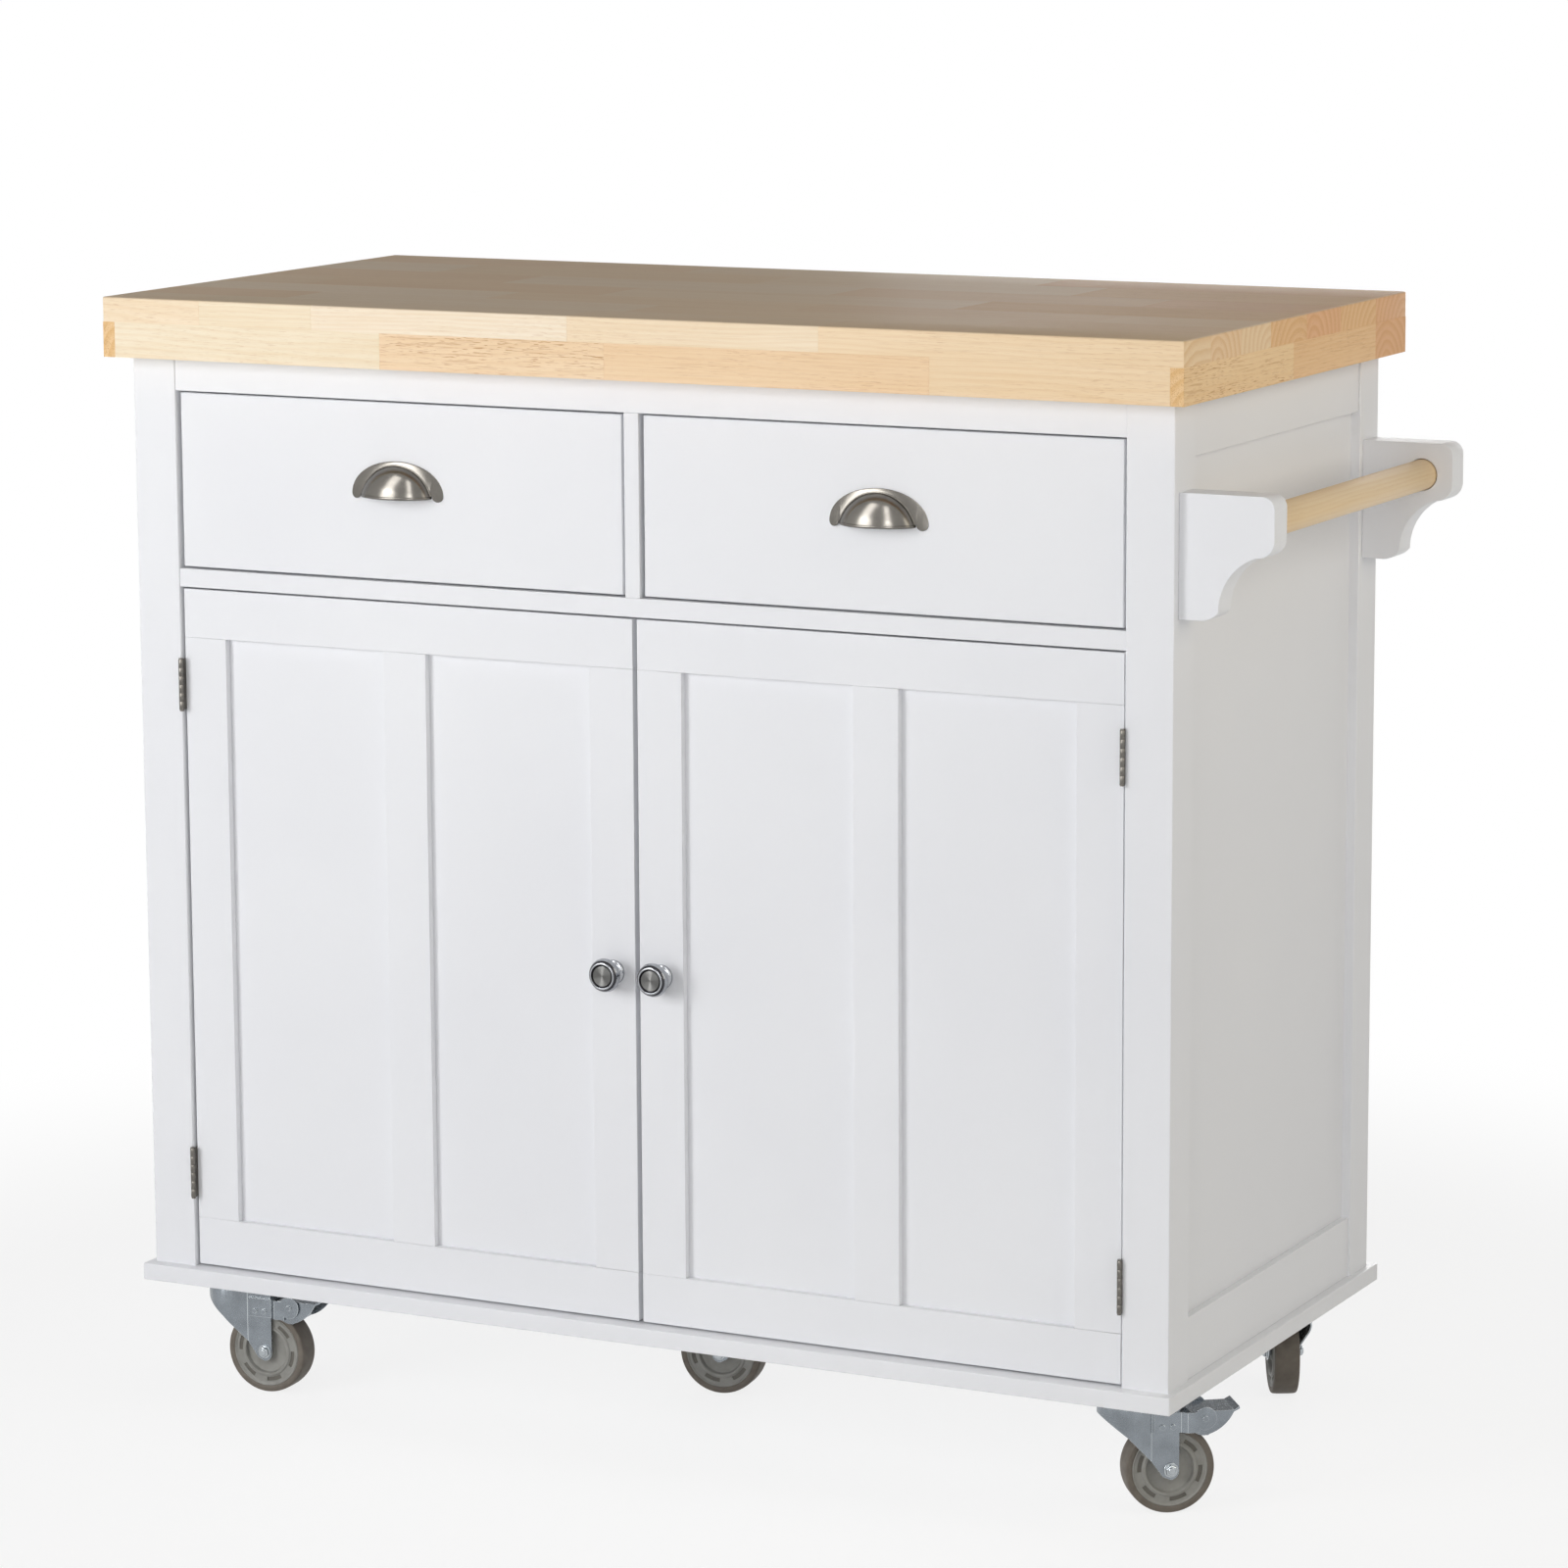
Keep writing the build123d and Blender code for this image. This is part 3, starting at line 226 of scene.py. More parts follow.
class Shape:
    """Closed forms gathered into one mesh, with the attributes that wood reads.

    grain is a point's place in the tree, and tint the wood's colour. end is 1 where a face is
    sawn across the fibres, and top is 1 where it is the worktop's upper side.
    """

    def __init__(self):
        self.points = []
        self.faces = []
        self.slots = []
        self.grain = []
        self.tint = []
        self.end = []
        self.top = []

    def add(self, bm, slot=0, grain=None, tint=(1, 1, 1, 1), end=None, top=0.0):
        """Takes in one form. grain is a function of a point, and end of a face's normal."""
        bmesh.ops.recalc_face_normals(bm, faces=bm.faces)
        bm.verts.index_update()
        start = len(self.points)
        for vert in bm.verts:
            self.points.append(vert.co.copy())
            self.grain.append(grain(vert.co) if grain else vert.co.copy())
            self.tint.append(tint)
        for face in bm.faces:
            self.faces.append([start + vert.index for vert in face.verts])
            self.slots.append(slot + face.material_index)
            self.end.append(end(face.normal) if end else 0.0)
            self.top.append(top * max(0.0, face.normal.z))
        bm.free()

    def build(self, name, body, materials, replaces, smooth=30.0):
        """Makes the object, which rides on its body and stands in for the nodes it replaces."""
        mesh = bpy.data.meshes.new(name)
        mesh.from_pydata(self.points, [], self.faces)
        for material in materials:
            mesh.materials.append(material)
        mesh.polygons.foreach_set("material_index", self.slots)
        for label, kind, domain, key, values in (
                ("grain", "FLOAT_VECTOR", "POINT", "vector", [c for p in self.grain for c in p]),
                ("tint", "FLOAT_COLOR", "POINT", "color", [c for t in self.tint for c in t]),
                ("end", "FLOAT", "FACE", "value", self.end),
                ("top", "FLOAT", "FACE", "value", self.top)):
            mesh.attributes.new(label, kind, domain).data.foreach_set(key, values)
        mesh.polygons.foreach_set("use_smooth", [True] * len(mesh.polygons))
        mesh.set_sharp_from_angle(angle=math.radians(smooth))
        obj = bpy.data.objects.new(name, mesh)
        bpy.context.scene.collection.objects.link(obj)
        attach(obj, body)
        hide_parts(*replaces)


def bevel(bm, edges, width, segments):
    """Rounds those edges, or chamfers them where segments is 1."""
    if edges:
        bmesh.ops.bevel(bm, geom=edges, offset=width, segments=segments, profile=0.5,
                        affect="EDGES", clamp_overlap=True)


def sharp_edges(bm, limit):
    """The edges where two faces meet at more than limit degrees."""
    return [edge for edge in bm.edges if edge.calc_face_angle() > math.radians(limit)]


# Vertices that lie this close together, in millimetres, are one.
WELD_REACH = 0.001


def box_form(low, high, ease, outer, rounding):
    """A straight board; edges for which outer(middle) is true are rounded, the rest eased."""
    bm = bmesh.new()
    bmesh.ops.create_cube(bm, size=1.0)
    size = [b - a for a, b in zip(low, high)]
    for vert in bm.verts:
        vert.co = Vector([a + (c + 0.5) * s for a, c, s in zip(low, vert.co, size)])
    if outer:
        chosen = [e for e in bm.edges if outer((e.verts[0].co + e.verts[1].co) / 2)]
        bevel(bm, chosen, rounding, 4)
        bm.normal_update()
    bevel(bm, sharp_edges(bm, 60), ease, 1)
    return bm


CORNER_SHARE = 0.45


def rounded(points, radius, steps):
    """The open outline with its corners turned into short curves.

    A curve takes up to CORNER_SHARE of the straight on each side of its corner.
    """
    made = [tuple(points[0])]
    for before, here, after in zip(points, points[1:], points[2:]):
        here = Vector(here)
        back = Vector(before) - here
        ahead = Vector(after) - here
        reach = min(radius, CORNER_SHARE * back.length, CORNER_SHARE * ahead.length)
        start = here + back.normalized() * reach
        stop = here + ahead.normalized() * reach
        for step in range(steps + 1):
            t = step / steps
            made.append(tuple(start * (1 - t) ** 2 + here * 2 * t * (1 - t) + stop * t ** 2))
    made.append(tuple(points[-1]))
    return made


# A radius below this, in metres, is on the axis.
ON_AXIS = 1e-7


def lathe(profile, place, steps, closed=False):
    """A form turned about place's z axis from (radius, height) points."""
    bm = bmesh.new()
    rings = []
    for radius, height in profile:
        if radius < ON_AXIS:
            rings.append([bm.verts.new(place @ Vector((0, 0, height)))])
            continue
        rings.append([bm.verts.new(place @ Vector((radius * math.cos(a), radius * math.sin(a),
                                                   height)))
                      for a in (2 * math.pi * k / steps for k in range(steps))])
    if closed:
        rings.append(rings[0])
    for near, far in zip(rings, rings[1:]):
        for k in range(steps):
            corners = []
            for vert in (near[k % len(near)], near[(k + 1) % len(near)],
                         far[(k + 1) % len(far)], far[k % len(far)]):
                if vert not in corners:
                    corners.append(vert)
            if len(corners) > 2:
                bm.faces.new(corners)
    return bm


def skin(bm, rings):
    """Closed walls from each ring of vertices to the next, and a face over both ends."""
    for near, far in zip(rings, rings[1:]):
        for k in range(len(near)):
            following = (k + 1) % len(near)
            bm.faces.new((near[k], near[following], far[following], far[k]))
    return [bm.faces.new(rings[0]), bm.faces.new(rings[-1])]


def mm(points):
    """Those points in metres, from millimetres."""
    return [tuple(value * MM for value in point) for point in points]


def ellipse(across, deep, start, stop, steps, middle=(0, 0)):
    """Points of an ellipse between two angles in degrees."""
    angles = [math.radians(start + (stop - start) * k / steps) for k in range(steps + 1)]
    return [(middle[0] + across * math.cos(a), middle[1] + deep * math.sin(a)) for a in angles]


# ---------------------------------------------------------------- materials

def srgb(red, green, blue):
    """A colour given as it looks on screen, 0 to 255, as the linear colour that nodes use."""
    return tuple(((v / 255 + 0.055) / 1.055) ** 2.4 if v > 10 else v / 3295
                 for v in (red, green, blue)) + (1.0,)


class Finish:
    """One procedural material: a Principled shader and short calls for what feeds it."""

    def __init__(self, name, **sockets):
        self.material = bpy.data.materials.new(name)
        self.material.use_nodes = True
        self.tree = self.material.node_tree
        self.shader = self.tree.nodes["Principled BSDF"]
        for key, value in sockets.items():
            self.shader.inputs[key.replace("_", " ")].default_value = value

    def node(self, kind, inputs=None, **settings):
        return add_node(self.tree, kind, inputs, **settings)

    def link(self, socket, name):
        """Feeds that input of the shader."""
        self.tree.links.new(socket, self.shader.inputs[name])

    def place(self):
        """The place on the object, in metres."""
        return self.node("TexCoord").outputs["Object"]

    def attribute(self, name, output="Vector"):
        return self.node("Attribute", attribute_name=name).outputs[output]

    def stretch(self, vector, x, y, z):
        return self.node("VectorMath", {0: vector, 1: (x, y, z)},
                         operation="MULTIPLY").outputs[0]

    def noise(self, vector, scale, detail, roughness=0.5):
        return self.node("TexNoise", {"Vector": vector, "Scale": scale, "Detail": detail,
                                      "Roughness": roughness}).outputs[0]

    def fibrous(self, grain, along, across, detail, roughness=0.5):
        """Noise of so many waves per metre along the fibres of wood, and across them."""
        return self.noise(self.stretch(grain, along, across, across), 1.0, detail, roughness)

    def math(self, operation, a, b=0.0):
        return self.node("Math", {0: a, 1: b}, operation=operation).outputs[0]

    def span(self, value, low, high, out_low=0.0, out_high=1.0, smooth=False):
        """The value, moved from between low and high to between out_low and out_high."""
        return self.node("MapRange", {"Value": value, "From Min": low, "From Max": high,
                                      "To Min": out_low, "To Max": out_high},
                         interpolation_type="SMOOTHSTEP" if smooth else "LINEAR").outputs[0]

    def spread(self, noise, out_low=0.0, out_high=1.0):
        """Noise, which mostly lies between 0.3 and 0.7, spread from out_low to out_high."""
        return self.span(noise, 0.3, 0.7, out_low, out_high)

    def mix(self, share, first, second, blend="MIX"):
        return self.node("Mix", {0: share, 6: first, 7: second}, data_type="RGBA",
                         blend_type=blend).outputs[2]

    def tinted(self, colour, tone):
        return self.mix(1.0, colour, tone, "MULTIPLY")

    def bump(self, height, distance):
        made = self.node("Bump", {"Height": height, "Distance": distance, "Strength": 1.0})
        self.link(made.outputs[0], "Normal")


PAINT_DARK = srgb(233, 234, 238)
PAINT_LIGHT = srgb(238, 239, 242)
PAINT_RELIEF = 0.03 * MM


def painted_wood():
    """Satin white paint: a faint roller texture and hardly any change of shade."""
    finish = Finish("white_paint", Roughness=0.42, Specular_IOR_Level=0.45)
    place = finish.place()
    cloud = finish.noise(place, 3.0, 3.0)
    finish.link(finish.mix(finish.spread(cloud), PAINT_DARK, PAINT_LIGHT), "Base Color")
    finish.link(finish.spread(cloud, 0.38, 0.47), "Roughness")
    upright = finish.noise(finish.stretch(place, 260, 260, 14), 1.0, 3.0)
    roller = finish.noise(place, 900.0, 2.0)
    finish.bump(finish.math("ADD", finish.math("MULTIPLY", upright, 0.6), roller), PAINT_RELIEF)
    return finish.material


# Widths of a year ring as it shows along a board and on its sawn end, and how far rings wander.
RING_WIDTH = 3.4
END_RING_WIDTH = 8.0
RING_WANDER = 20.0
# How much each pattern deepens the wood, from its fresh colour to its deep tone.
LATE_WOOD_DEPTH = 0.22
FIBRE_DEPTH = 0.34
BROAD_DEPTH = 0.34
END_DEPTH = 0.45
END_RING_DEPTH = 0.45
STREAK_DEPTH = 0.36
# Tones are shares of the fresh colour. TOP_TONE is a colour of its own: the worktop's upper side
# takes TOP_EVEN of it, which evens out its staves, and is then darkened by the painted shade below.
DEEP_TONE = (0.88, 0.78, 0.64, 1)
END_TONE = (0.84, 0.71, 0.54, 1)
MARK_TONE = (0.64, 0.46, 0.31, 1)
TOP_TONE = (0.90, 0.71, 0.52, 1)
TOP_EVEN = 0.45
# Painted shade: the worktop's upper side is darkened for the dimmer light that falls on it from
# above.
TOP_PAINTED_SHADE = (0.74, 0.70, 0.645, 1)
WOOD_RELIEF = 0.05 * MM


def tree_radius(finish, grain):
    """Distance from the heart of the tree, a little uneven. The fibres run along grain's x."""
    parts = finish.node("SeparateXYZ", {0: grain})
    radius = finish.math("SQRT", finish.math(
        "ADD", finish.math("MULTIPLY", parts.outputs[1], parts.outputs[1]),
        finish.math("MULTIPLY", parts.outputs[2], parts.outputs[2])))
    wander = finish.fibrous(grain, 2.2, 11, 3.0, 0.55)
    return finish.math("ADD", radius, finish.math("MULTIPLY", wander, RING_WANDER * MM))


def year_rings(finish, radius, width, start, peak):
    """Rings that darken from start to peak, in shares of their width, and then pale again."""
    ring = finish.math("FRACT", finish.math("MULTIPLY", radius, 1 / (width * MM)))
    return finish.math("MULTIPLY", finish.span(ring, start, peak, smooth=True),
                       finish.span(ring, peak, 1.0, 1.0, 0.0, smooth=True))


def dark_marks(finish, grain, flecks):
    """Patches of open pores and fine streaks; flecks is how thick they stand."""
    pores = finish.fibrous(grain, 95, 1600, 1.0)
    patches = finish.fibrous(grain, 7, 30, 1.0)
    streaks = finish.fibrous(grain, 30, 850, 2.0)
    dots = finish.math("MULTIPLY", finish.span(pores, 0.60, 0.69),
                       finish.span(patches, 0.38, 0.62, 0.10, 1.0))
    lines = finish.math("MULTIPLY", finish.span(streaks, 0.56, 0.68), STREAK_DEPTH)
    return finish.math("MULTIPLY", finish.math("ADD", dots, lines), flecks)


def board_depth(finish, grain, radius, fibre):
    """How deep the wood's colour is on a face along the fibres, 0 to about 1."""
    late = year_rings(finish, radius, RING_WIDTH, 0.25, 0.86)
    broad = finish.fibrous(grain, 3, 34, 2.0)
    return finish.math("ADD", finish.math("MULTIPLY", late, LATE_WOOD_DEPTH),
                       finish.math("ADD", finish.span(fibre, 0.3, 0.75, 0.0, FIBRE_DEPTH),
                                   finish.spread(broad, 0.0, BROAD_DEPTH)))


def worktop_wood(name, roughness, specular):
    """Oiled hardwood whose colours, fibres, sawn ends and upper side come from Shape; the upper
    side is darkened with painted shade.
    """
    finish = Finish(name, Roughness=roughness, Specular_IOR_Level=specular)
    grain = finish.attribute("grain")
    fresh = finish.attribute("tint", "Color")
    end = finish.attribute("end", "Fac")
    radius = tree_radius(finish, grain)
    fibre = finish.fibrous(grain, 9, 420, 4.0, 0.6)
    marks = dark_marks(finish, grain, finish.attribute("tint", "Alpha"))
    arcs = year_rings(finish, radius, END_RING_WIDTH, 0.10, 0.80)
    end_depth = finish.math("ADD", END_DEPTH, finish.math("MULTIPLY", arcs, END_RING_DEPTH))
    depth = finish.node("Mix", {0: end, 2: board_depth(finish, grain, radius, fibre),
                                3: end_depth}).outputs[0]
    deeper = finish.mix(end, finish.tinted(fresh, DEEP_TONE), finish.tinted(fresh, END_TONE))
    shade = finish.mix(depth, fresh, deeper)
    shade = finish.mix(marks, shade, finish.tinted(fresh, MARK_TONE))
    even = finish.mix(TOP_EVEN, shade, TOP_TONE)
    # Painted shade: where top is 1, the upper side is darkened for the dimmer light from above.
    shade = finish.mix(finish.attribute("top", "Fac"), shade, finish.tinted(even, TOP_PAINTED_SHADE))
    finish.link(shade, "Base Color")
    finish.bump(finish.math("SUBTRACT", fibre, marks), WOOD_RELIEF)
    return finish.material


def plain_wood(name, colour, roughness, specular, heart, flecks, along_y=False):
    """Wood of one colour for CAD nodes; heart is a place in the middle of its tree.

    The fibres run along the object's x, or along its y.
    """
    finish = Finish(name, Roughness=roughness, Specular_IOR_Level=specular)
    grain = finish.node("VectorMath", {0: finish.place(), 1: heart},
                        operation="SUBTRACT").outputs[0]
    if along_y:
        parts = finish.node("SeparateXYZ", {0: grain})
        grain = finish.node("CombineXYZ", {0: parts.outputs[1], 1: parts.outputs[0],
                                           2: parts.outputs[2]}).outputs[0]
    radius = tree_radius(finish, grain)
    fibre = finish.fibrous(grain, 9, 420, 4.0, 0.6)
    marks = dark_marks(finish, grain, flecks)
    deeper = finish.tinted(colour, DEEP_TONE)
    shade = finish.mix(board_depth(finish, grain, radius, fibre), colour, deeper)
    finish.link(finish.mix(marks, shade, finish.tinted(colour, MARK_TONE)), "Base Color")
    finish.bump(finish.math("SUBTRACT", fibre, marks), WOOD_RELIEF)
    return finish.material


METAL_RELIEF = 0.01 * MM
# How far a metal's roughness goes down and up from its mean.
GLOSS_LOW = 0.85
GLOSS_HIGH = 1.2


def metal_finish(name, colour, roughness, spots, brushed=None, specks=900.0):
    """Metal with slightly lighter and darker spots, and fine marks in its gloss.

    The marks are specks, so many per metre, or are brushed: so many per metre along x, y and z.
    """
    finish = Finish(name, Metallic=1.0, Roughness=roughness)
    place = finish.place()
    cloud = finish.noise(place, 60.0, 3.0)
    tone = finish.spread(cloud, 1.0 - spots, 1.0 + spots)
    shade = finish.node("CombineColor", {0: tone, 1: tone, 2: tone}).outputs[0]
    finish.link(finish.tinted(colour, shade), "Base Color")
    if brushed:
        fine = finish.noise(finish.stretch(place, *brushed), 1.0, 2.0)
    else:
        fine = finish.noise(place, specks, 2.0)
    finish.link(finish.spread(fine, roughness * GLOSS_LOW, roughness * GLOSS_HIGH), "Roughness")
    finish.bump(fine, METAL_RELIEF)
    return finish


def metal(*values, **more):
    return metal_finish(*values, **more).material


def turned_disc():
    """Metal brushed in circles, whose bright wedges turn with the light."""
    finish = metal_finish("turned_disc", (0.17, 0.17, 0.165, 1), 0.42, 0.02)
    finish.shader.inputs["Anisotropic"].default_value = 1.0
    finish.shader.inputs["Anisotropic Rotation"].default_value = 0.25
    tangent = finish.node("Tangent", direction_type="RADIAL", axis="Y")
    finish.link(tangent.outputs[0], "Tangent")
    return finish.material


PLASTIC_RELIEF = 0.03 * MM


def plastic(name, dark, light, roughness):
    """Matt plastic or rubber, cloudy between two shades and finely pitted."""
    finish = Finish(name, Roughness=roughness, Specular_IOR_Level=0.4)
    place = finish.place()
    cloud = finish.noise(place, 120.0, 4.0)
    finish.link(finish.mix(finish.spread(cloud), dark, light), "Base Color")
    finish.bump(finish.noise(place, 1400.0, 2.0), PLASTIC_RELIEF)
    return finish.material


BAR_LOW, BAR_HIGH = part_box("towel_bar")
BAR_MIDDLE = (BAR_LOW + BAR_HIGH) / 2
BAR_HEART = (BAR_MIDDLE.x + 21 * MM, BAR_MIDDLE.y, BAR_MIDDLE.z - 30 * MM)
RAW_HEART = (-0.3, 0.71, -0.6)

PAINT = painted_wood()
WORKTOP_WOOD = worktop_wood("oiled_wood", roughness=0.34, specular=0.10)
WORKTOP_FACE = worktop_wood("oiled_wood_top", roughness=0.45, specular=0.02)
DOWEL_WOOD = plain_wood("dowel_wood", srgb(238, 214, 176), roughness=0.45, specular=0.3,
                        heart=BAR_HEART, flecks=0.15, along_y=True)
RAW_WOOD = plain_wood("raw_wood", srgb(236, 214, 176), roughness=0.6, specular=0.2,
                      heart=RAW_HEART, flecks=0.25)
CHROME = metal("chrome", (0.36, 0.37, 0.39, 1), 0.10, 0.02)
# Dark chrome for rings on the knob's front: painted reflections of dark surroundings.
CHROME_PAINTED_DARK_REFLECTION = metal("chrome_painted_dark_reflection", (0.05, 0.05, 0.055, 1), 0.16, 0.02)
TURNED = turned_disc()
NICKEL = metal("brushed_nickel", (0.165, 0.155, 0.14, 1), 0.20, 0.10, brushed=(120, 120, 2600))
ZINC = metal("zinc_steel", (0.255, 0.28, 0.305, 1), 0.26, 0.14)
# Lighter zinc for the eased edges of zinc nodes: painted highlights along edges and creases.
ZINC_PAINTED_HIGHLIGHT = metal("zinc_painted_highlight", (0.66, 0.70, 0.72, 1), 0.20, 0.05)
BRIGHT_ZINC = metal("bright_zinc", (0.44, 0.47, 0.49, 1), 0.14, 0.08, specks=1600.0)
RUNNER = metal("runner_steel", (0.50, 0.52, 0.54, 1), 0.30, 0.04)
TREAD = plastic("tread", srgb(98, 91, 83), srgb(113, 106, 97), 0.62)
HUB = plastic("hub", srgb(134, 133, 128), srgb(147, 146, 141), 0.50)
# Darker plastic for the windows' floors: painted shade of the recesses.
WINDOW_PAINTED_SHADE = plastic("hub_window_painted_shade", srgb(96, 93, 87), srgb(106, 103, 96), 0.6)


# ---------------------------------------------------------------- worktop

JOINT_EASE = 0.16 * MM
TOP_ROUNDING = 1.3 * MM
STRIP_LOW, STRIP_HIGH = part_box("worktop_edge_strips")
SIDE_STRIP = 11.0 * MM
LONG_STRIP = 67.0 * MM


def hardwood(red, green, blue, flecks):
    """A wood's fresh colour as it looks on screen, with how thick its flecks stand as alpha."""
    return (*srgb(red, green, blue)[:3], flecks)


CREAM = hardwood(254, 242, 219, 0.30)
PALE = hardwood(255, 242, 222, 0.30)
STRAW = hardwood(254, 237, 211, 0.34)
PEACH = hardwood(252, 229, 196, 0.36)
TAN = hardwood(250, 222, 186, 0.50)
FLECKED = hardwood(251, 226, 193, 1.3)
HONEY = hardwood(250, 219, 173, 1.3)
AMBER = hardwood(246, 208, 160, 0.85)
ROSE = hardwood(243, 197, 153, 0.7)

# Each row of staves: where its far edge lies, where it is cut along x from the worktop's middle,
# and its staves' woods.
FIRST_ROW_EDGE = -230.0
STAVE_ROWS = (
    (-179.0, (-379.5, -275.0, -44.0, 172.7), (STRAW, CREAM, PALE, STRAW, PEACH)),
    (-120.0, (-330.0, -20.0, 290.0), (TAN, PALE, PEACH, TAN)),
    (-60.0, (-180.0, 95.0, 350.0), (PALE, PEACH, TAN, PEACH)),
    (14.0, (-385.0, -110.0, 205.0), (PEACH, TAN, STRAW, AMBER)),
    (86.0, (-240.0, 60.0, 330.0), (TAN, PALE, TAN, ROSE)),
    (162.5, (-345.0, -45.0, 240.0), (PALE, PEACH, STRAW, AMBER)),
    (230.0, (-150.0, 175.0), (TAN, STRAW, ROSE)))
FRONT_STRIP_CUTS = (-212.4, -11.7, 265.0)
FRONT_STRIP_WOODS = (CREAM, FLECKED, TAN, PEACH)
BACK_STRIP_CUTS = (-120.0, 190.0)
BACK_STRIP_WOODS = (PEACH, STRAW, ROSE)
SIDE_STRIP_CUT = -12.6
SIDE_STRIP_WOODS = (HONEY, AMBER)

# Where in its tree a stave may be cut from: how far up, how far from the heart, in which
# direction from it, and how much askew.
TREE_HEIGHT = 9.0
HEART_REACH = (18, 60)
HEART_TURN = (0.15, 0.85)
GRAIN_LEAN = 0.04
# Shares of a normal from which a face counts as sawn across its fibres, and as facing up.
SAWN_ACROSS = 0.6
FACING_UP = 0.99
# Points this close, in metres, lie on the same plane.
TOUCHING = 1e-5


def on_rim(point):
    """True on the worktop's upper outer edges and its upright corners."""
    outside = sum((abs(point.x - PANEL_LOW.x) < TOUCHING, abs(point.x - PANEL_HIGH.x) < TOUCHING,
                   abs(point.y - PANEL_LOW.y) < TOUCHING, abs(point.y - PANEL_HIGH.y) < TOUCHING))
    return outside == 2 or (outside == 1 and abs(point.z - PANEL_HIGH.z) < TOUCHING)


def stave(shape, low, high, along, tint, dice, upper=False):
    """One length of wood from its own place in the tree, with its fibres along x or y (0 or 1).

    An upper one is part of the worktop's upper side, whose rim is rounded.
    """
    shift = dice.uniform(0, TREE_HEIGHT)
    heart = dice.uniform(*HEART_REACH) * MM
    turn = dice.uniform(*HEART_TURN) * math.pi
    lean = dice.uniform(-GRAIN_LEAN, GRAIN_LEAN)
    middle = [(a + b) / 2 for a, b in zip(low, high)]
    across = 1 - along

    def grain(point):
        run = point[along] - middle[along]
        return (point[along] + shift,
                point[across] - middle[across] + heart * math.cos(turn) + lean * run,
                point[2] - middle[2] + heart * math.sin(turn))

    bm = box_form(low, high, JOINT_EASE, on_rim if upper else None, TOP_ROUNDING)
    for face in bm.faces:
        face.material_index = 1 if upper and face.normal.z > FACING_UP else 0
    shape.add(bm, 0, grain, tint, lambda normal: float(abs(normal[along]) > SAWN_ACROSS),
              float(upper))


def lengths(low, cuts, high, woods):
    """The start, the stop and the wood of each length between low, the cuts and high."""
    places = [low, *(MIDDLE_X + cut * MM for cut in cuts), high]
    return zip(places, places[1:], woods)


def make_staves(dice):
    """The worktop's panel of staves in rows."""
    shape = Shape()
    near = FIRST_ROW_EDGE * MM
    for edge, cuts, woods in STAVE_ROWS:
        far = edge * MM
        for start, stop, wood in lengths(PANEL_LOW.x, cuts, PANEL_HIGH.x, woods):
            stave(shape, (start, near, PANEL_LOW.z), (stop, far, PANEL_HIGH.z), 0, wood, dice, True)
        near = far
    shape.build("worktop_staves", "cabinet", [WORKTOP_WOOD, WORKTOP_FACE],
                ["worktop_panel"])


def make_strips(dice):
    """The strips that thicken the worktop's edges. The front one ends between the side ones."""
    shape = Shape()
    bottom, under = STRIP_LOW.z, STRIP_HIGH.z
    outer_x = PANEL_HIGH.x - MIDDLE_X
    inner_x = outer_x - SIDE_STRIP
    front_y = PANEL_LOW.y
    back_y = PANEL_HIGH.y - LONG_STRIP
    for near, far, reach, cuts, woods in (
            (front_y, front_y + LONG_STRIP, inner_x, FRONT_STRIP_CUTS, FRONT_STRIP_WOODS),
            (back_y, PANEL_HIGH.y, outer_x, BACK_STRIP_CUTS, BACK_STRIP_WOODS)):
        for start, stop, wood in lengths(MIDDLE_X - reach, cuts, MIDDLE_X + reach, woods):
            stave(shape, (start, near, bottom), (stop, far, under), 0, wood, dice)
    for side in SIDES.values():
        near_x, far_x = sorted((MIDDLE_X + side * inner_x,
                                MIDDLE_X + side * (inner_x + SIDE_STRIP)))
        places = [front_y, SIDE_STRIP_CUT * MM, back_y]
        for start, stop, wood in zip(places, places[1:], SIDE_STRIP_WOODS):
            stave(shape, (near_x, start, bottom), (far_x, stop, under), 1, wood, dice)
    shape.build("worktop_strips", "cabinet", [WORKTOP_WOOD],
                ["worktop_edge_strips"])


# ---------------------------------------------------------------- knobs and cup pulls

def outward_place(x, y, z):
    """A frame at that point whose z looks out of the front and whose y looks up."""
    return Matrix(((1, 0, 0, x), (0, 0, -1, y), (0, 1, 0, z), (0, 0, 0, 1)))


# Radius and height from the door, in the order of turning: the foot, the neck, the head, its lip
# and the groove inside it. The disc stands in the groove's middle.
KNOB_OUTLINE = ((9.7, 0), (10.0, 1.0), (9.4, 2.5), (7.4, 3.4), (6.5, 5.6), (6.5, 9.0),
                (8.4, 10.6), (12.6, 12.7), (13.5, 14.2), (13.45, 15.6), (12.6, 18.0),
                (11.2, 19.9), (10.5, 20.45), (9.7, 20.5), (9.2, 20.3), (8.6, 19.1), (8.2, 19.0))
KNOB_CORNER = 0.9
KNOB_GROOVE = 8.0
KNOB_GROOVE_HEIGHT = 18.9
KNOB_DISC = 8.05
KNOB_DISC_HEIGHT = 19.75
KNOB_DISC_CROWN = 19.95
KNOB_DISC_CORNER = 0.25
# The rings on the knob's front, which lies beyond KNOB_SHOULDER, painted dark as painted
# reflections of dark surroundings.
KNOB_SHOULDER = 15.7
KNOB_DARK_BAND = (10.8, 12.3)
KNOB_DARK_MIDDLE = 9.6
KNOB_STEPS = 96


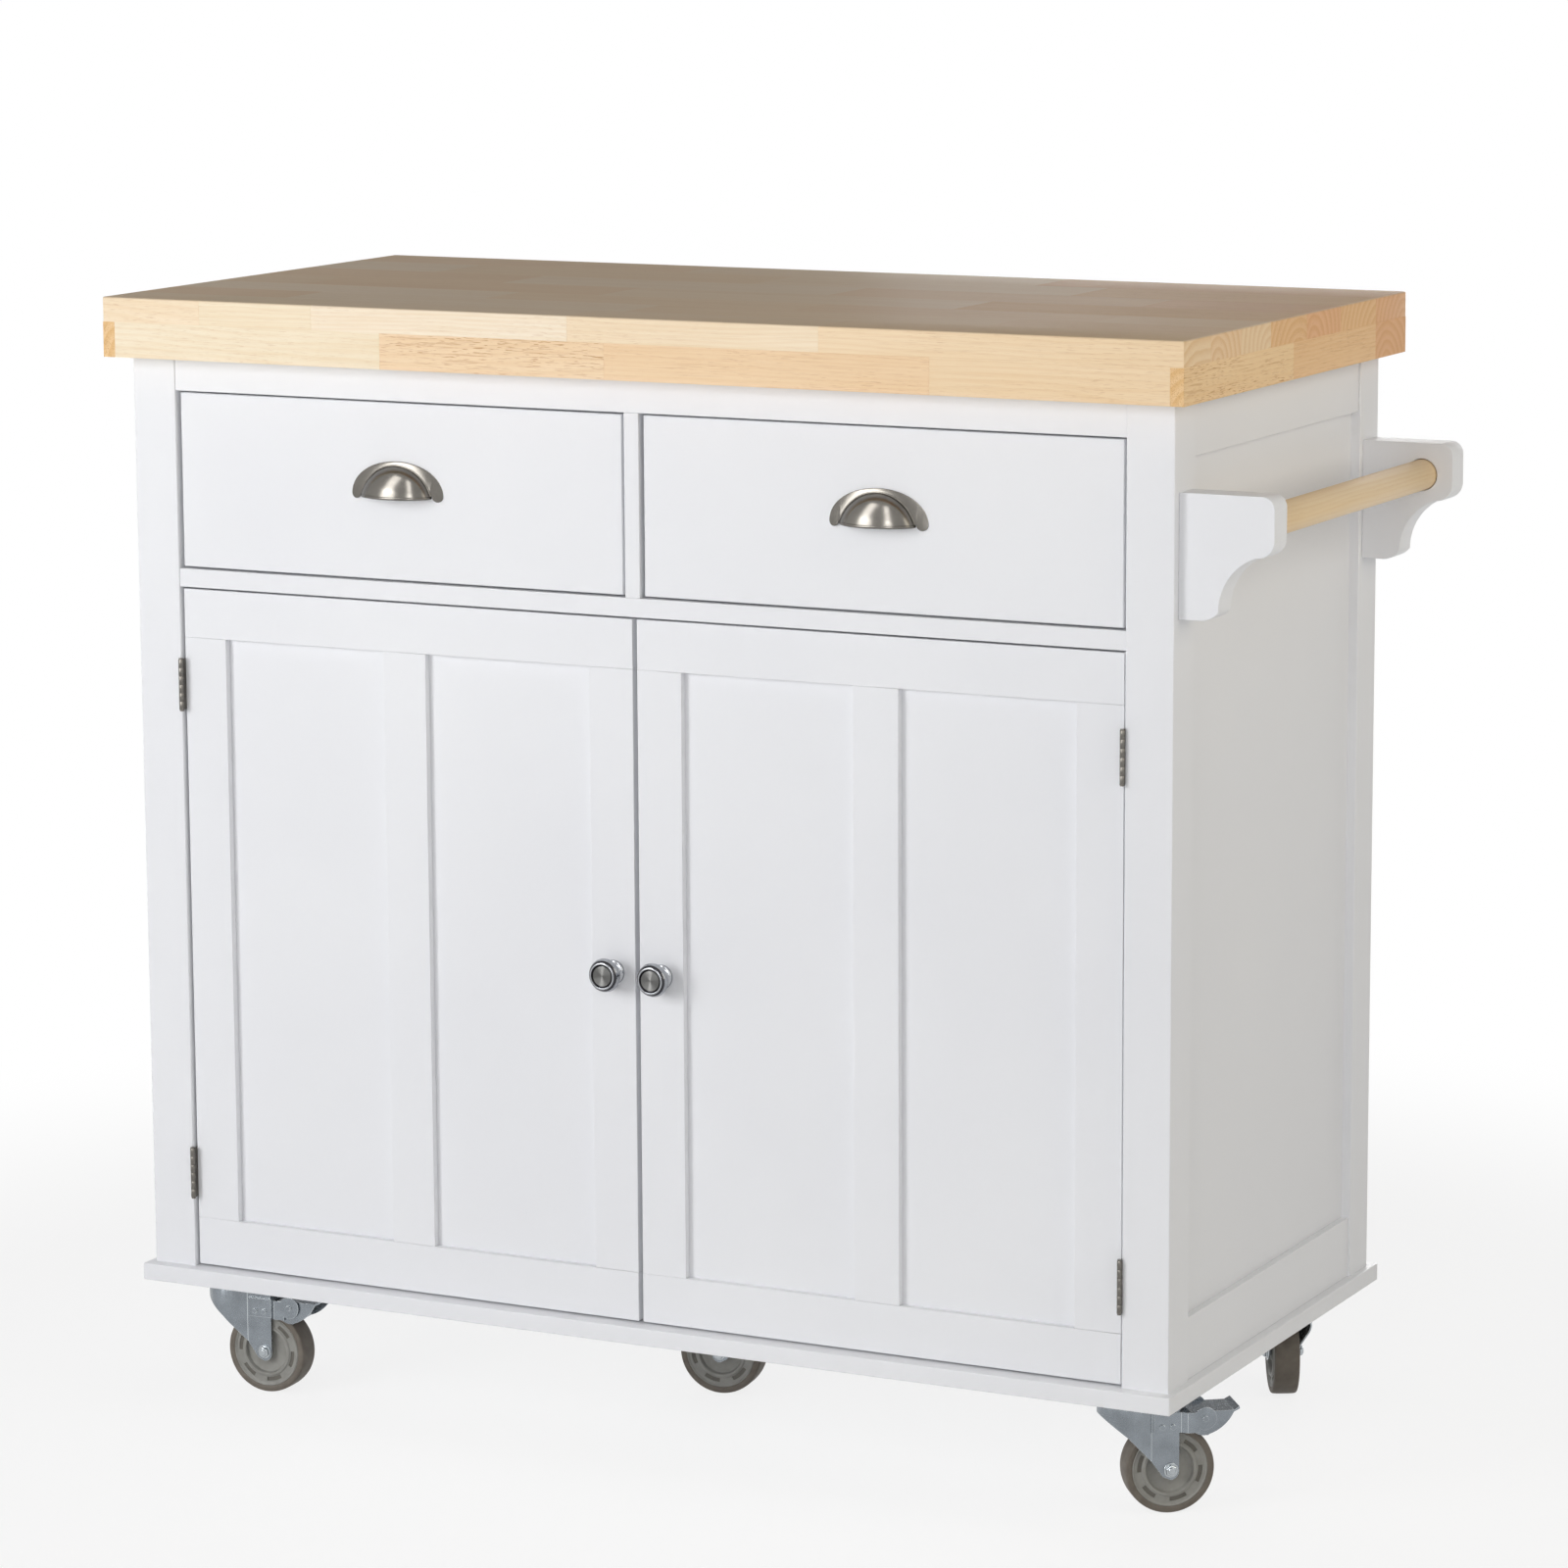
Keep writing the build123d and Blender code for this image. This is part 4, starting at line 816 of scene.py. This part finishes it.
def make_knob(side):
    """Turned chrome knob with a raised lip, a groove and a disc brushed in circles; rings on its
    front are painted dark as painted reflections.
    """
    low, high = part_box(f"{side}_door_knob")
    place = outward_place((low.x + high.x) / 2, high.y, (low.z + high.z) / 2)
    turned = [(0, 0), *rounded(KNOB_OUTLINE, KNOB_CORNER, 4), (KNOB_GROOVE, KNOB_GROOVE_HEIGHT),
              (0, KNOB_GROOVE_HEIGHT)]
    bm = lathe(mm(turned), place, KNOB_STEPS)
    band_low, band_high = KNOB_DARK_BAND
    for face in bm.faces:
        middle = face.calc_center_median()
        reach = math.hypot(middle.x - place[0][3], middle.z - place[2][3]) / MM
        front = place[1][3] - middle.y > KNOB_SHOULDER * MM
        # These rings take the dark chrome: painted reflections.
        if front and (band_low < reach < band_high or reach < KNOB_DARK_MIDDLE):
            face.material_index = 2
    shape = Shape()
    shape.add(bm, 0)
    disc = [(0, KNOB_GROOVE_HEIGHT),
            *rounded([(KNOB_DISC, KNOB_GROOVE_HEIGHT), (KNOB_DISC, KNOB_DISC_HEIGHT),
                      (7.5, KNOB_DISC_CROWN), (0.4, KNOB_DISC_HEIGHT)], KNOB_DISC_CORNER, 3),
            (0, KNOB_DISC_HEIGHT)]
    shape.add(lathe(mm(disc), place, KNOB_STEPS), 1)
    shape.build(f"{side}_knob_turned", f"{side}_door",
                [CHROME, TURNED, CHROME_PAINTED_DARK_REFLECTION],
                [f"{side}_door_knob"], 50.0)


# The pull's shell is a quarter of an ellipsoid, cut off at its mouth. Heights are above the
# ellipsoid's middle, and angles run from its right over its top.
CUP_RADIUS = 33.3
CUP_DEPTH = 21.0
CUP_WALL = 1.6
CUP_MOUTH = 10.0
CUP_LIP = 1.35
CUP_LIP_DROP = 1.2
CUP_LIP_INSET = (1.0, 0.9)
CUP_LIP_ARC = (4, 176)
CUP_SEAM = 0.6
CUP_SEAM_ARC = (17.6, 162.4)
# The crescent plate behind it, with a round lobe at both ends, gets thinner by CUP_SLOPE per
# millimetre beyond the shell.
CUP_LOBE = 4.5
CUP_LOBE_REACH = 37.3
CUP_PLATE = 3.2
CUP_PLATE_TOP = 36.3
CUP_PLATE_ROUNDING = 0.45
CUP_PLATE_ARC = (163, 17)
CUP_STRIPS = 28
CUP_SLOPE = 0.28


def tube(points, radius, steps):
    """A round bead along an open line of points."""
    bm = bmesh.new()
    rings = []
    for index, point in enumerate(points):
        before = points[max(index - 1, 0)]
        after = points[min(index + 1, len(points) - 1)]
        run = (after - before).normalized()
        side = run.orthogonal() if index == 0 else (side - run * side.dot(run))
        side.normalize()
        across = run.cross(side)
        rings.append([bm.verts.new(point + radius * (math.cos(a) * side + math.sin(a) * across))
                      for a in (2 * math.pi * k / steps for k in range(steps))])
    skin(bm, rings)
    return bm


def prism(outline, depth, rounding):
    """A plate of that outline on the XY plane, with its upper and lower edges rounded."""
    bm = bmesh.new()
    ends = skin(bm, [[bm.verts.new((x, y, z)) for x, y in outline] for z in (0, depth)])
    bmesh.ops.recalc_face_normals(bm, faces=bm.faces)
    bevel(bm, [edge for face in ends for edge in face.edges], rounding, 3)
    return bm


def sloped_plate(outline, place):
    """The pull's back plate, cut into upright strips and thinner towards its outer edge."""
    bm = prism(outline, CUP_PLATE * MM, CUP_PLATE_ROUNDING * MM)
    half = (CUP_LOBE_REACH + CUP_LOBE) * MM
    for k in range(1, CUP_STRIPS):
        bmesh.ops.bisect_plane(bm, geom=bm.verts[:] + bm.edges[:] + bm.faces[:],
                               plane_co=(half * (2 * k / CUP_STRIPS - 1), 0, 0),
                               plane_no=(1, 0, 0))
    bmesh.ops.remove_doubles(bm, verts=bm.verts, dist=WELD_REACH * MM)
    for vert in bm.verts:
        beyond = math.hypot(vert.co.x, vert.co.y) - CUP_RADIUS * MM
        vert.co.z -= CUP_SLOPE * beyond * vert.co.z / (CUP_PLATE * MM)
    bmesh.ops.transform(bm, matrix=place, verts=bm.verts)
    return bm


def cup_shell(place):
    """The hollow quarter of an ellipsoid, cut off at its mouth."""
    inner = (CUP_RADIUS - CUP_WALL, CUP_DEPTH - CUP_WALL)
    profile = ellipse(CUP_RADIUS, CUP_DEPTH, 0, 90, 28) + ellipse(*inner, 90, 0, 20)
    bm = lathe(mm(profile), Matrix(), 160, closed=True)
    bmesh.ops.bisect_plane(bm, geom=bm.verts[:] + bm.edges[:] + bm.faces[:],
                           plane_co=(0, CUP_MOUTH * MM, 0), plane_no=(0, 1, 0),
                           clear_inner=True)
    rim = [edge for edge in bm.edges if edge.is_boundary]
    bmesh.ops.holes_fill(bm, edges=rim, sides=0)
    bmesh.ops.transform(bm, matrix=place, verts=bm.verts)
    return bm


def plate_outline():
    """The crescent: its outer edge, the left lobe, the arc under the shell, the right lobe."""
    outer = ellipse(CUP_LOBE_REACH + CUP_LOBE, CUP_PLATE_TOP - CUP_MOUTH, 0, 180, 60,
                    (0, CUP_MOUTH))
    left = ellipse(CUP_LOBE, CUP_LOBE, 190, 360, 14, (-CUP_LOBE_REACH, CUP_MOUTH))
    inner = ellipse(CUP_RADIUS - CUP_WALL, CUP_RADIUS - CUP_WALL, *CUP_PLATE_ARC, 48)
    right = ellipse(CUP_LOBE, CUP_LOBE, 180, 350, 14, (CUP_LOBE_REACH, CUP_MOUTH))
    return outer + left + inner + right


def make_cup_pull(side):
    """Half-dome pull with a rolled lip, on a crescent plate with round ends."""
    low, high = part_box(f"{side}_drawer_cup_pull")
    place = outward_place((low.x + high.x) / 2, high.y,
                          low.z + (CUP_LOBE - CUP_MOUTH) * MM)
    shape = Shape()
    shape.add(cup_shell(place))
    shrink = math.sqrt(1 - (CUP_MOUTH / CUP_RADIUS) ** 2)
    inset, inset_deep = CUP_LIP_INSET
    lip = ellipse(CUP_RADIUS * shrink - inset, CUP_DEPTH * shrink - inset_deep, *CUP_LIP_ARC, 72)
    shape.add(tube([place @ Vector((x * MM, (CUP_MOUTH - CUP_LIP_DROP) * MM, z * MM))
                    for x, z in lip], CUP_LIP * MM, 16))
    seam = ellipse(CUP_RADIUS, CUP_RADIUS, *CUP_SEAM_ARC, 72)
    shape.add(tube([place @ Vector((x * MM, y * MM, CUP_PLATE * MM)) for x, y in seam],
                   CUP_SEAM * MM, 10))
    shape.add(sloped_plate(mm(plate_outline()), place))
    shape.build(f"{side}_cup_shell", f"{side}_drawer", [NICKEL],
                [f"{side}_drawer_cup_pull"], 38.0)


# ---------------------------------------------------------------- caster wheels

CASTERS = ("front_left", "front_right", "back_left", "back_right", "center")
WHEEL_RADIUS = 35.5
TREAD_THICKNESS = 5.6
TREAD_CORNER = 3.2
RIM_RADIUS = WHEEL_RADIUS - TREAD_THICKNESS
WHEEL_STEPS = 180
# Windows are pressed into the hub's outer ring, which stands at HUB_FACE from the middle.
# Their width and the angle of the first are in steps of the wheel and in degrees.
HUB_FACE = 9.4
WINDOW_LOW = 22.6
WINDOW_HIGH = 25.9
WINDOW_DEPTH = 0.7
WINDOW_COUNT = 6
WINDOW_STEPS = 16
WINDOW_PHASE = -29.0
HALF_SUNK = HUB_FACE - WINDOW_DEPTH / 2
# Radius and height of the hub's side: the bore, the web, the lip ring, the windows and the rim.
HUB_SIDE = ((4.1, 9.5), (7.7, 9.5), (8.0, 9.2), (8.4, 7.3), (9.0, 7.0), (17.6, 7.0), (18.3, 7.4),
            (18.9, 9.9), (19.4, 10.4), (20.4, 10.5), (21.4, 10.3), (21.9, 9.6), (22.2, HUB_FACE),
            (WINDOW_LOW, HUB_FACE), (WINDOW_HIGH, HUB_FACE), (27.6, HUB_FACE), (28.3, 9.7),
            (28.7, 10.2), (29.3, 10.4), (RIM_RADIUS - 0.05, 10.0))
TREAD_SIDE = ((RIM_RADIUS, 9.9), (31.4, 10.5), (WHEEL_RADIUS - 0.5, 10.4), (WHEEL_RADIUS, 6.2))


def axle_place(caster):
    """A frame in the wheel's middle: x along the caster's trail, y up, and z along the axle."""
    pivot = Vector(JOINTS[f"{caster}_swivel"]["pos_m"])
    hub = Vector(JOINTS[f"{caster}_roll"]["pos_m"])
    along = Vector((hub.x - pivot.x, hub.y - pivot.y, 0)).normalized()
    up = Vector((0, 0, 1))
    turn = Matrix((along, up, along.cross(up))).transposed().to_4x4()
    return Matrix.Translation(hub) @ turn


def both_sides(half):
    """A profile given for one side of the wheel, carried on over its other side."""
    return [*half, *((radius, -height) for radius, height in reversed(half))]


def window_faces(bm):
    """The faces of each window, by its number and whether it is on the outer side."""
    spacing = WHEEL_STEPS // WINDOW_COUNT
    windows = {}
    for face in bm.faces:
        middle = face.calc_center_median()
        reach = math.hypot(middle.x, middle.y) / MM
        if WINDOW_LOW < reach < WINDOW_HIGH and abs(middle.z) > HALF_SUNK * MM:
            turned = math.degrees(math.atan2(middle.y, middle.x)) - WINDOW_PHASE
            step = turned % 360 * WHEEL_STEPS / 360
            if step % spacing < WINDOW_STEPS:
                windows.setdefault((int(step // spacing), middle.z > 0), []).append(face)
    return windows


def hub_form():
    """The hub about the origin, with its windows pressed in and their floors given a darker plastic
    as painted shade.
    """
    bm = lathe(mm(both_sides(HUB_SIDE)), Matrix(), WHEEL_STEPS, closed=True)
    for (_, outer), faces in window_faces(bm).items():
        made = bmesh.ops.extrude_face_region(bm, geom=faces)["geom"]
        verts = [item for item in made if isinstance(item, bmesh.types.BMVert)]
        bmesh.ops.delete(bm, geom=faces, context="FACES_ONLY")
        inward = -WINDOW_DEPTH * MM if outer else WINDOW_DEPTH * MM
        bmesh.ops.translate(bm, verts=verts, vec=(0, 0, inward))
    for face in bm.faces:
        middle = face.calc_center_median()
        reach = math.hypot(middle.x, middle.y) / MM
        # Window floors take the darker plastic: painted shade.
        if WINDOW_LOW < reach < WINDOW_HIGH and abs(middle.z) < HALF_SUNK * MM:
            face.material_index = 2
    return bm


def make_wheel(caster):
    """Moulded hub with a lip ring and six windows, inside a rounded tread."""
    place = axle_place(caster)
    hub = hub_form()
    bmesh.ops.transform(hub, matrix=place, verts=hub.verts)
    shape = Shape()
    shape.add(hub, 0)
    tread = rounded(both_sides(TREAD_SIDE), TREAD_CORNER, 5)
    shape.add(lathe(mm(tread), place, WHEEL_STEPS, closed=True), 1)
    shape.build(f"{caster}_wheel_moulded", f"{caster}_wheel",
                [HUB, TREAD, WINDOW_PAINTED_SHADE],
                [f"{caster}_caster_wheel"], 35.0)


# Along the axle, from the wheel's middle: the fork's legs end at LEG_HALF and the bolt's dome at
# BOLT_REACH. A nut stands from NUT_START beyond the leg to NUT_SHORT before the bolt's end.
LEG_HALF = 13.0
SHANK_RADIUS = 3.95
THREAD_RADIUS = 2.9
BOLT_START = -LEG_HALF - 0.2
BOLT_REACH = 17.5
BOLT_DOME = 0.9
WASHER_HOLE = 2.6
WASHER_RADIUS = 5.9
NUT_START = 0.9
NUT_SHORT = 0.8
NUT_FLATS = 8.6
NUT_EASE = 0.25
# A nut's turned corners: how far below its end each level lies, and its share of the width.
NUT_CROWN = ((1.1, 1.0), (0.4, 0.93), (0, 0.80))
# Both sides of the wheel, and how far the nut there is turned, in radians.
NUT_TURNS = ((-1, 0.05), (1, 0.65))


def hexagon(flats, turn):
    """Corners of a nut that size across its flats."""
    return [(flats / math.sqrt(3) * math.cos(turn + k * math.pi / 3),
             flats / math.sqrt(3) * math.sin(turn + k * math.pi / 3)) for k in range(6)]


def nut_form(place, start, stop, turn):
    """A nut whose outer corners are turned down, as on a lathe."""
    outward = 1 if stop > start else -1
    bm = bmesh.new()
    levels = [(start, 1.0), *((stop - outward * below, share) for below, share in NUT_CROWN)]
    skin(bm, [[bm.verts.new(place @ Vector((x * share * MM, y * share * MM, height * MM)))
               for x, y in hexagon(NUT_FLATS, turn)] for height, share in levels])
    bmesh.ops.recalc_face_normals(bm, faces=bm.faces)
    bevel(bm, sharp_edges(bm, 15), NUT_EASE * MM, 2)
    return bm


def make_axle(caster):
    """Bolt with a washer under its head and its nut, and the domed end of its thread."""
    place = axle_place(caster)
    shape = Shape()
    bolt = [(0, BOLT_START), (SHANK_RADIUS, BOLT_START), (SHANK_RADIUS, LEG_HALF),
            (THREAD_RADIUS, LEG_HALF),
            *rounded([(THREAD_RADIUS, BOLT_REACH - BOLT_DOME), (2.5, BOLT_REACH - 0.1),
                      (0.3, BOLT_REACH)], 0.8, 4), (0, BOLT_REACH)]
    shape.add(lathe(mm(bolt), place, 32))
    washer = rounded([(WASHER_HOLE, 0), (WASHER_RADIUS, 0), (WASHER_RADIUS - 0.1, 0.9),
                      (WASHER_HOLE, 1.0)], 0.3, 3)
    for side, turn in NUT_TURNS:
        turned = [(radius, side * (LEG_HALF + height)) for radius, height in washer]
        shape.add(lathe(mm(turned), place, 48, closed=True))
        shape.add(nut_form(place, side * (LEG_HALF + NUT_START), side * (BOLT_REACH - NUT_SHORT),
                           turn))
    shape.build(f"{caster}_axle_bolt", f"{caster}_fork", [BRIGHT_ZINC],
                [f"{caster}_caster_axle"], 30.0)


# ---------------------------------------------------------------- nodes that keep their mesh

# Widths of eased edges in millimetres, and the angles in degrees from which an edge is eased.
EASE_WIDTH = 0.6
EASE_WIDTHS = {BRIGHT_ZINC: 0.2, RUNNER: 0.15, NICKEL: 0.12, DOWEL_WOOD: 0.8}
EASE_ANGLE = 40
ZINC_EASE_WIDTH = 0.4
ZINC_EASE_ANGLE = 16
FLAT_ANGLE = 0.5
OWN_MATERIAL = -1

# Materials by how a node's name ends. All others are painted, and those that a piece replaces
# aren't listed, because they aren't shown.
NODE_MATERIALS = {"towel_bar": DOWEL_WOOD, "runner_cleats": RAW_WOOD, "_drawer_box": RAW_WOOD,
                  "_drawer_bottom": RAW_WOOD, "_runners": RUNNER, "shelf_pins": BRIGHT_ZINC,
                  "caster_screws": BRIGHT_ZINC, "caster_top_plates": ZINC, "_fork": ZINC,
                  "_pedal": ZINC, "_hinge_leaves": NICKEL, "_post_leaves": NICKEL}


def ease(node, width, limit, edge_slot):
    """Softens the sharp edges of a node, without a change to its own mesh."""
    weld = node.modifiers.new("weld", "WELD")
    weld.merge_threshold = WELD_REACH * MM
    flat = node.modifiers.new("flat", "DECIMATE")
    flat.decimate_type = "DISSOLVE"
    flat.angle_limit = math.radians(FLAT_ANGLE)
    edges = node.modifiers.new("ease", "BEVEL")
    edges.material = edge_slot
    edges.width = width * MM
    edges.segments = 2
    edges.limit_method = "ANGLE"
    edges.angle_limit = math.radians(limit)
    edges.use_clamp_overlap = True
    edges.harden_normals = True


def dress_nodes():
    """Gives every CAD node its material and eases its edges."""
    for name, node in frame["nodes"].items():
        fitting = [choice for ending, choice in NODE_MATERIALS.items() if name.endswith(ending)]
        material = fitting[0] if fitting else PAINT
        node.data.materials.clear()
        node.data.materials.append(material)
        if material == ZINC:
            # The eased edges of zinc nodes take the lighter zinc: painted highlights.
            node.data.materials.append(ZINC_PAINTED_HIGHLIGHT)
            ease(node, ZINC_EASE_WIDTH, ZINC_EASE_ANGLE, 1)
        else:
            ease(node, EASE_WIDTHS.get(material, EASE_WIDTH), EASE_ANGLE, OWN_MATERIAL)


bpy.context.scene.view_settings.view_transform = "Standard"
make_camera()
make_world()
make_floor()
make_lights()
worktop_dice = random.Random(7)
make_staves(worktop_dice)
make_strips(worktop_dice)
for side_name in SIDES:
    make_knob(side_name)
    make_cup_pull(side_name)
for caster_name in CASTERS:
    make_wheel(caster_name)
    make_axle(caster_name)
dress_nodes()
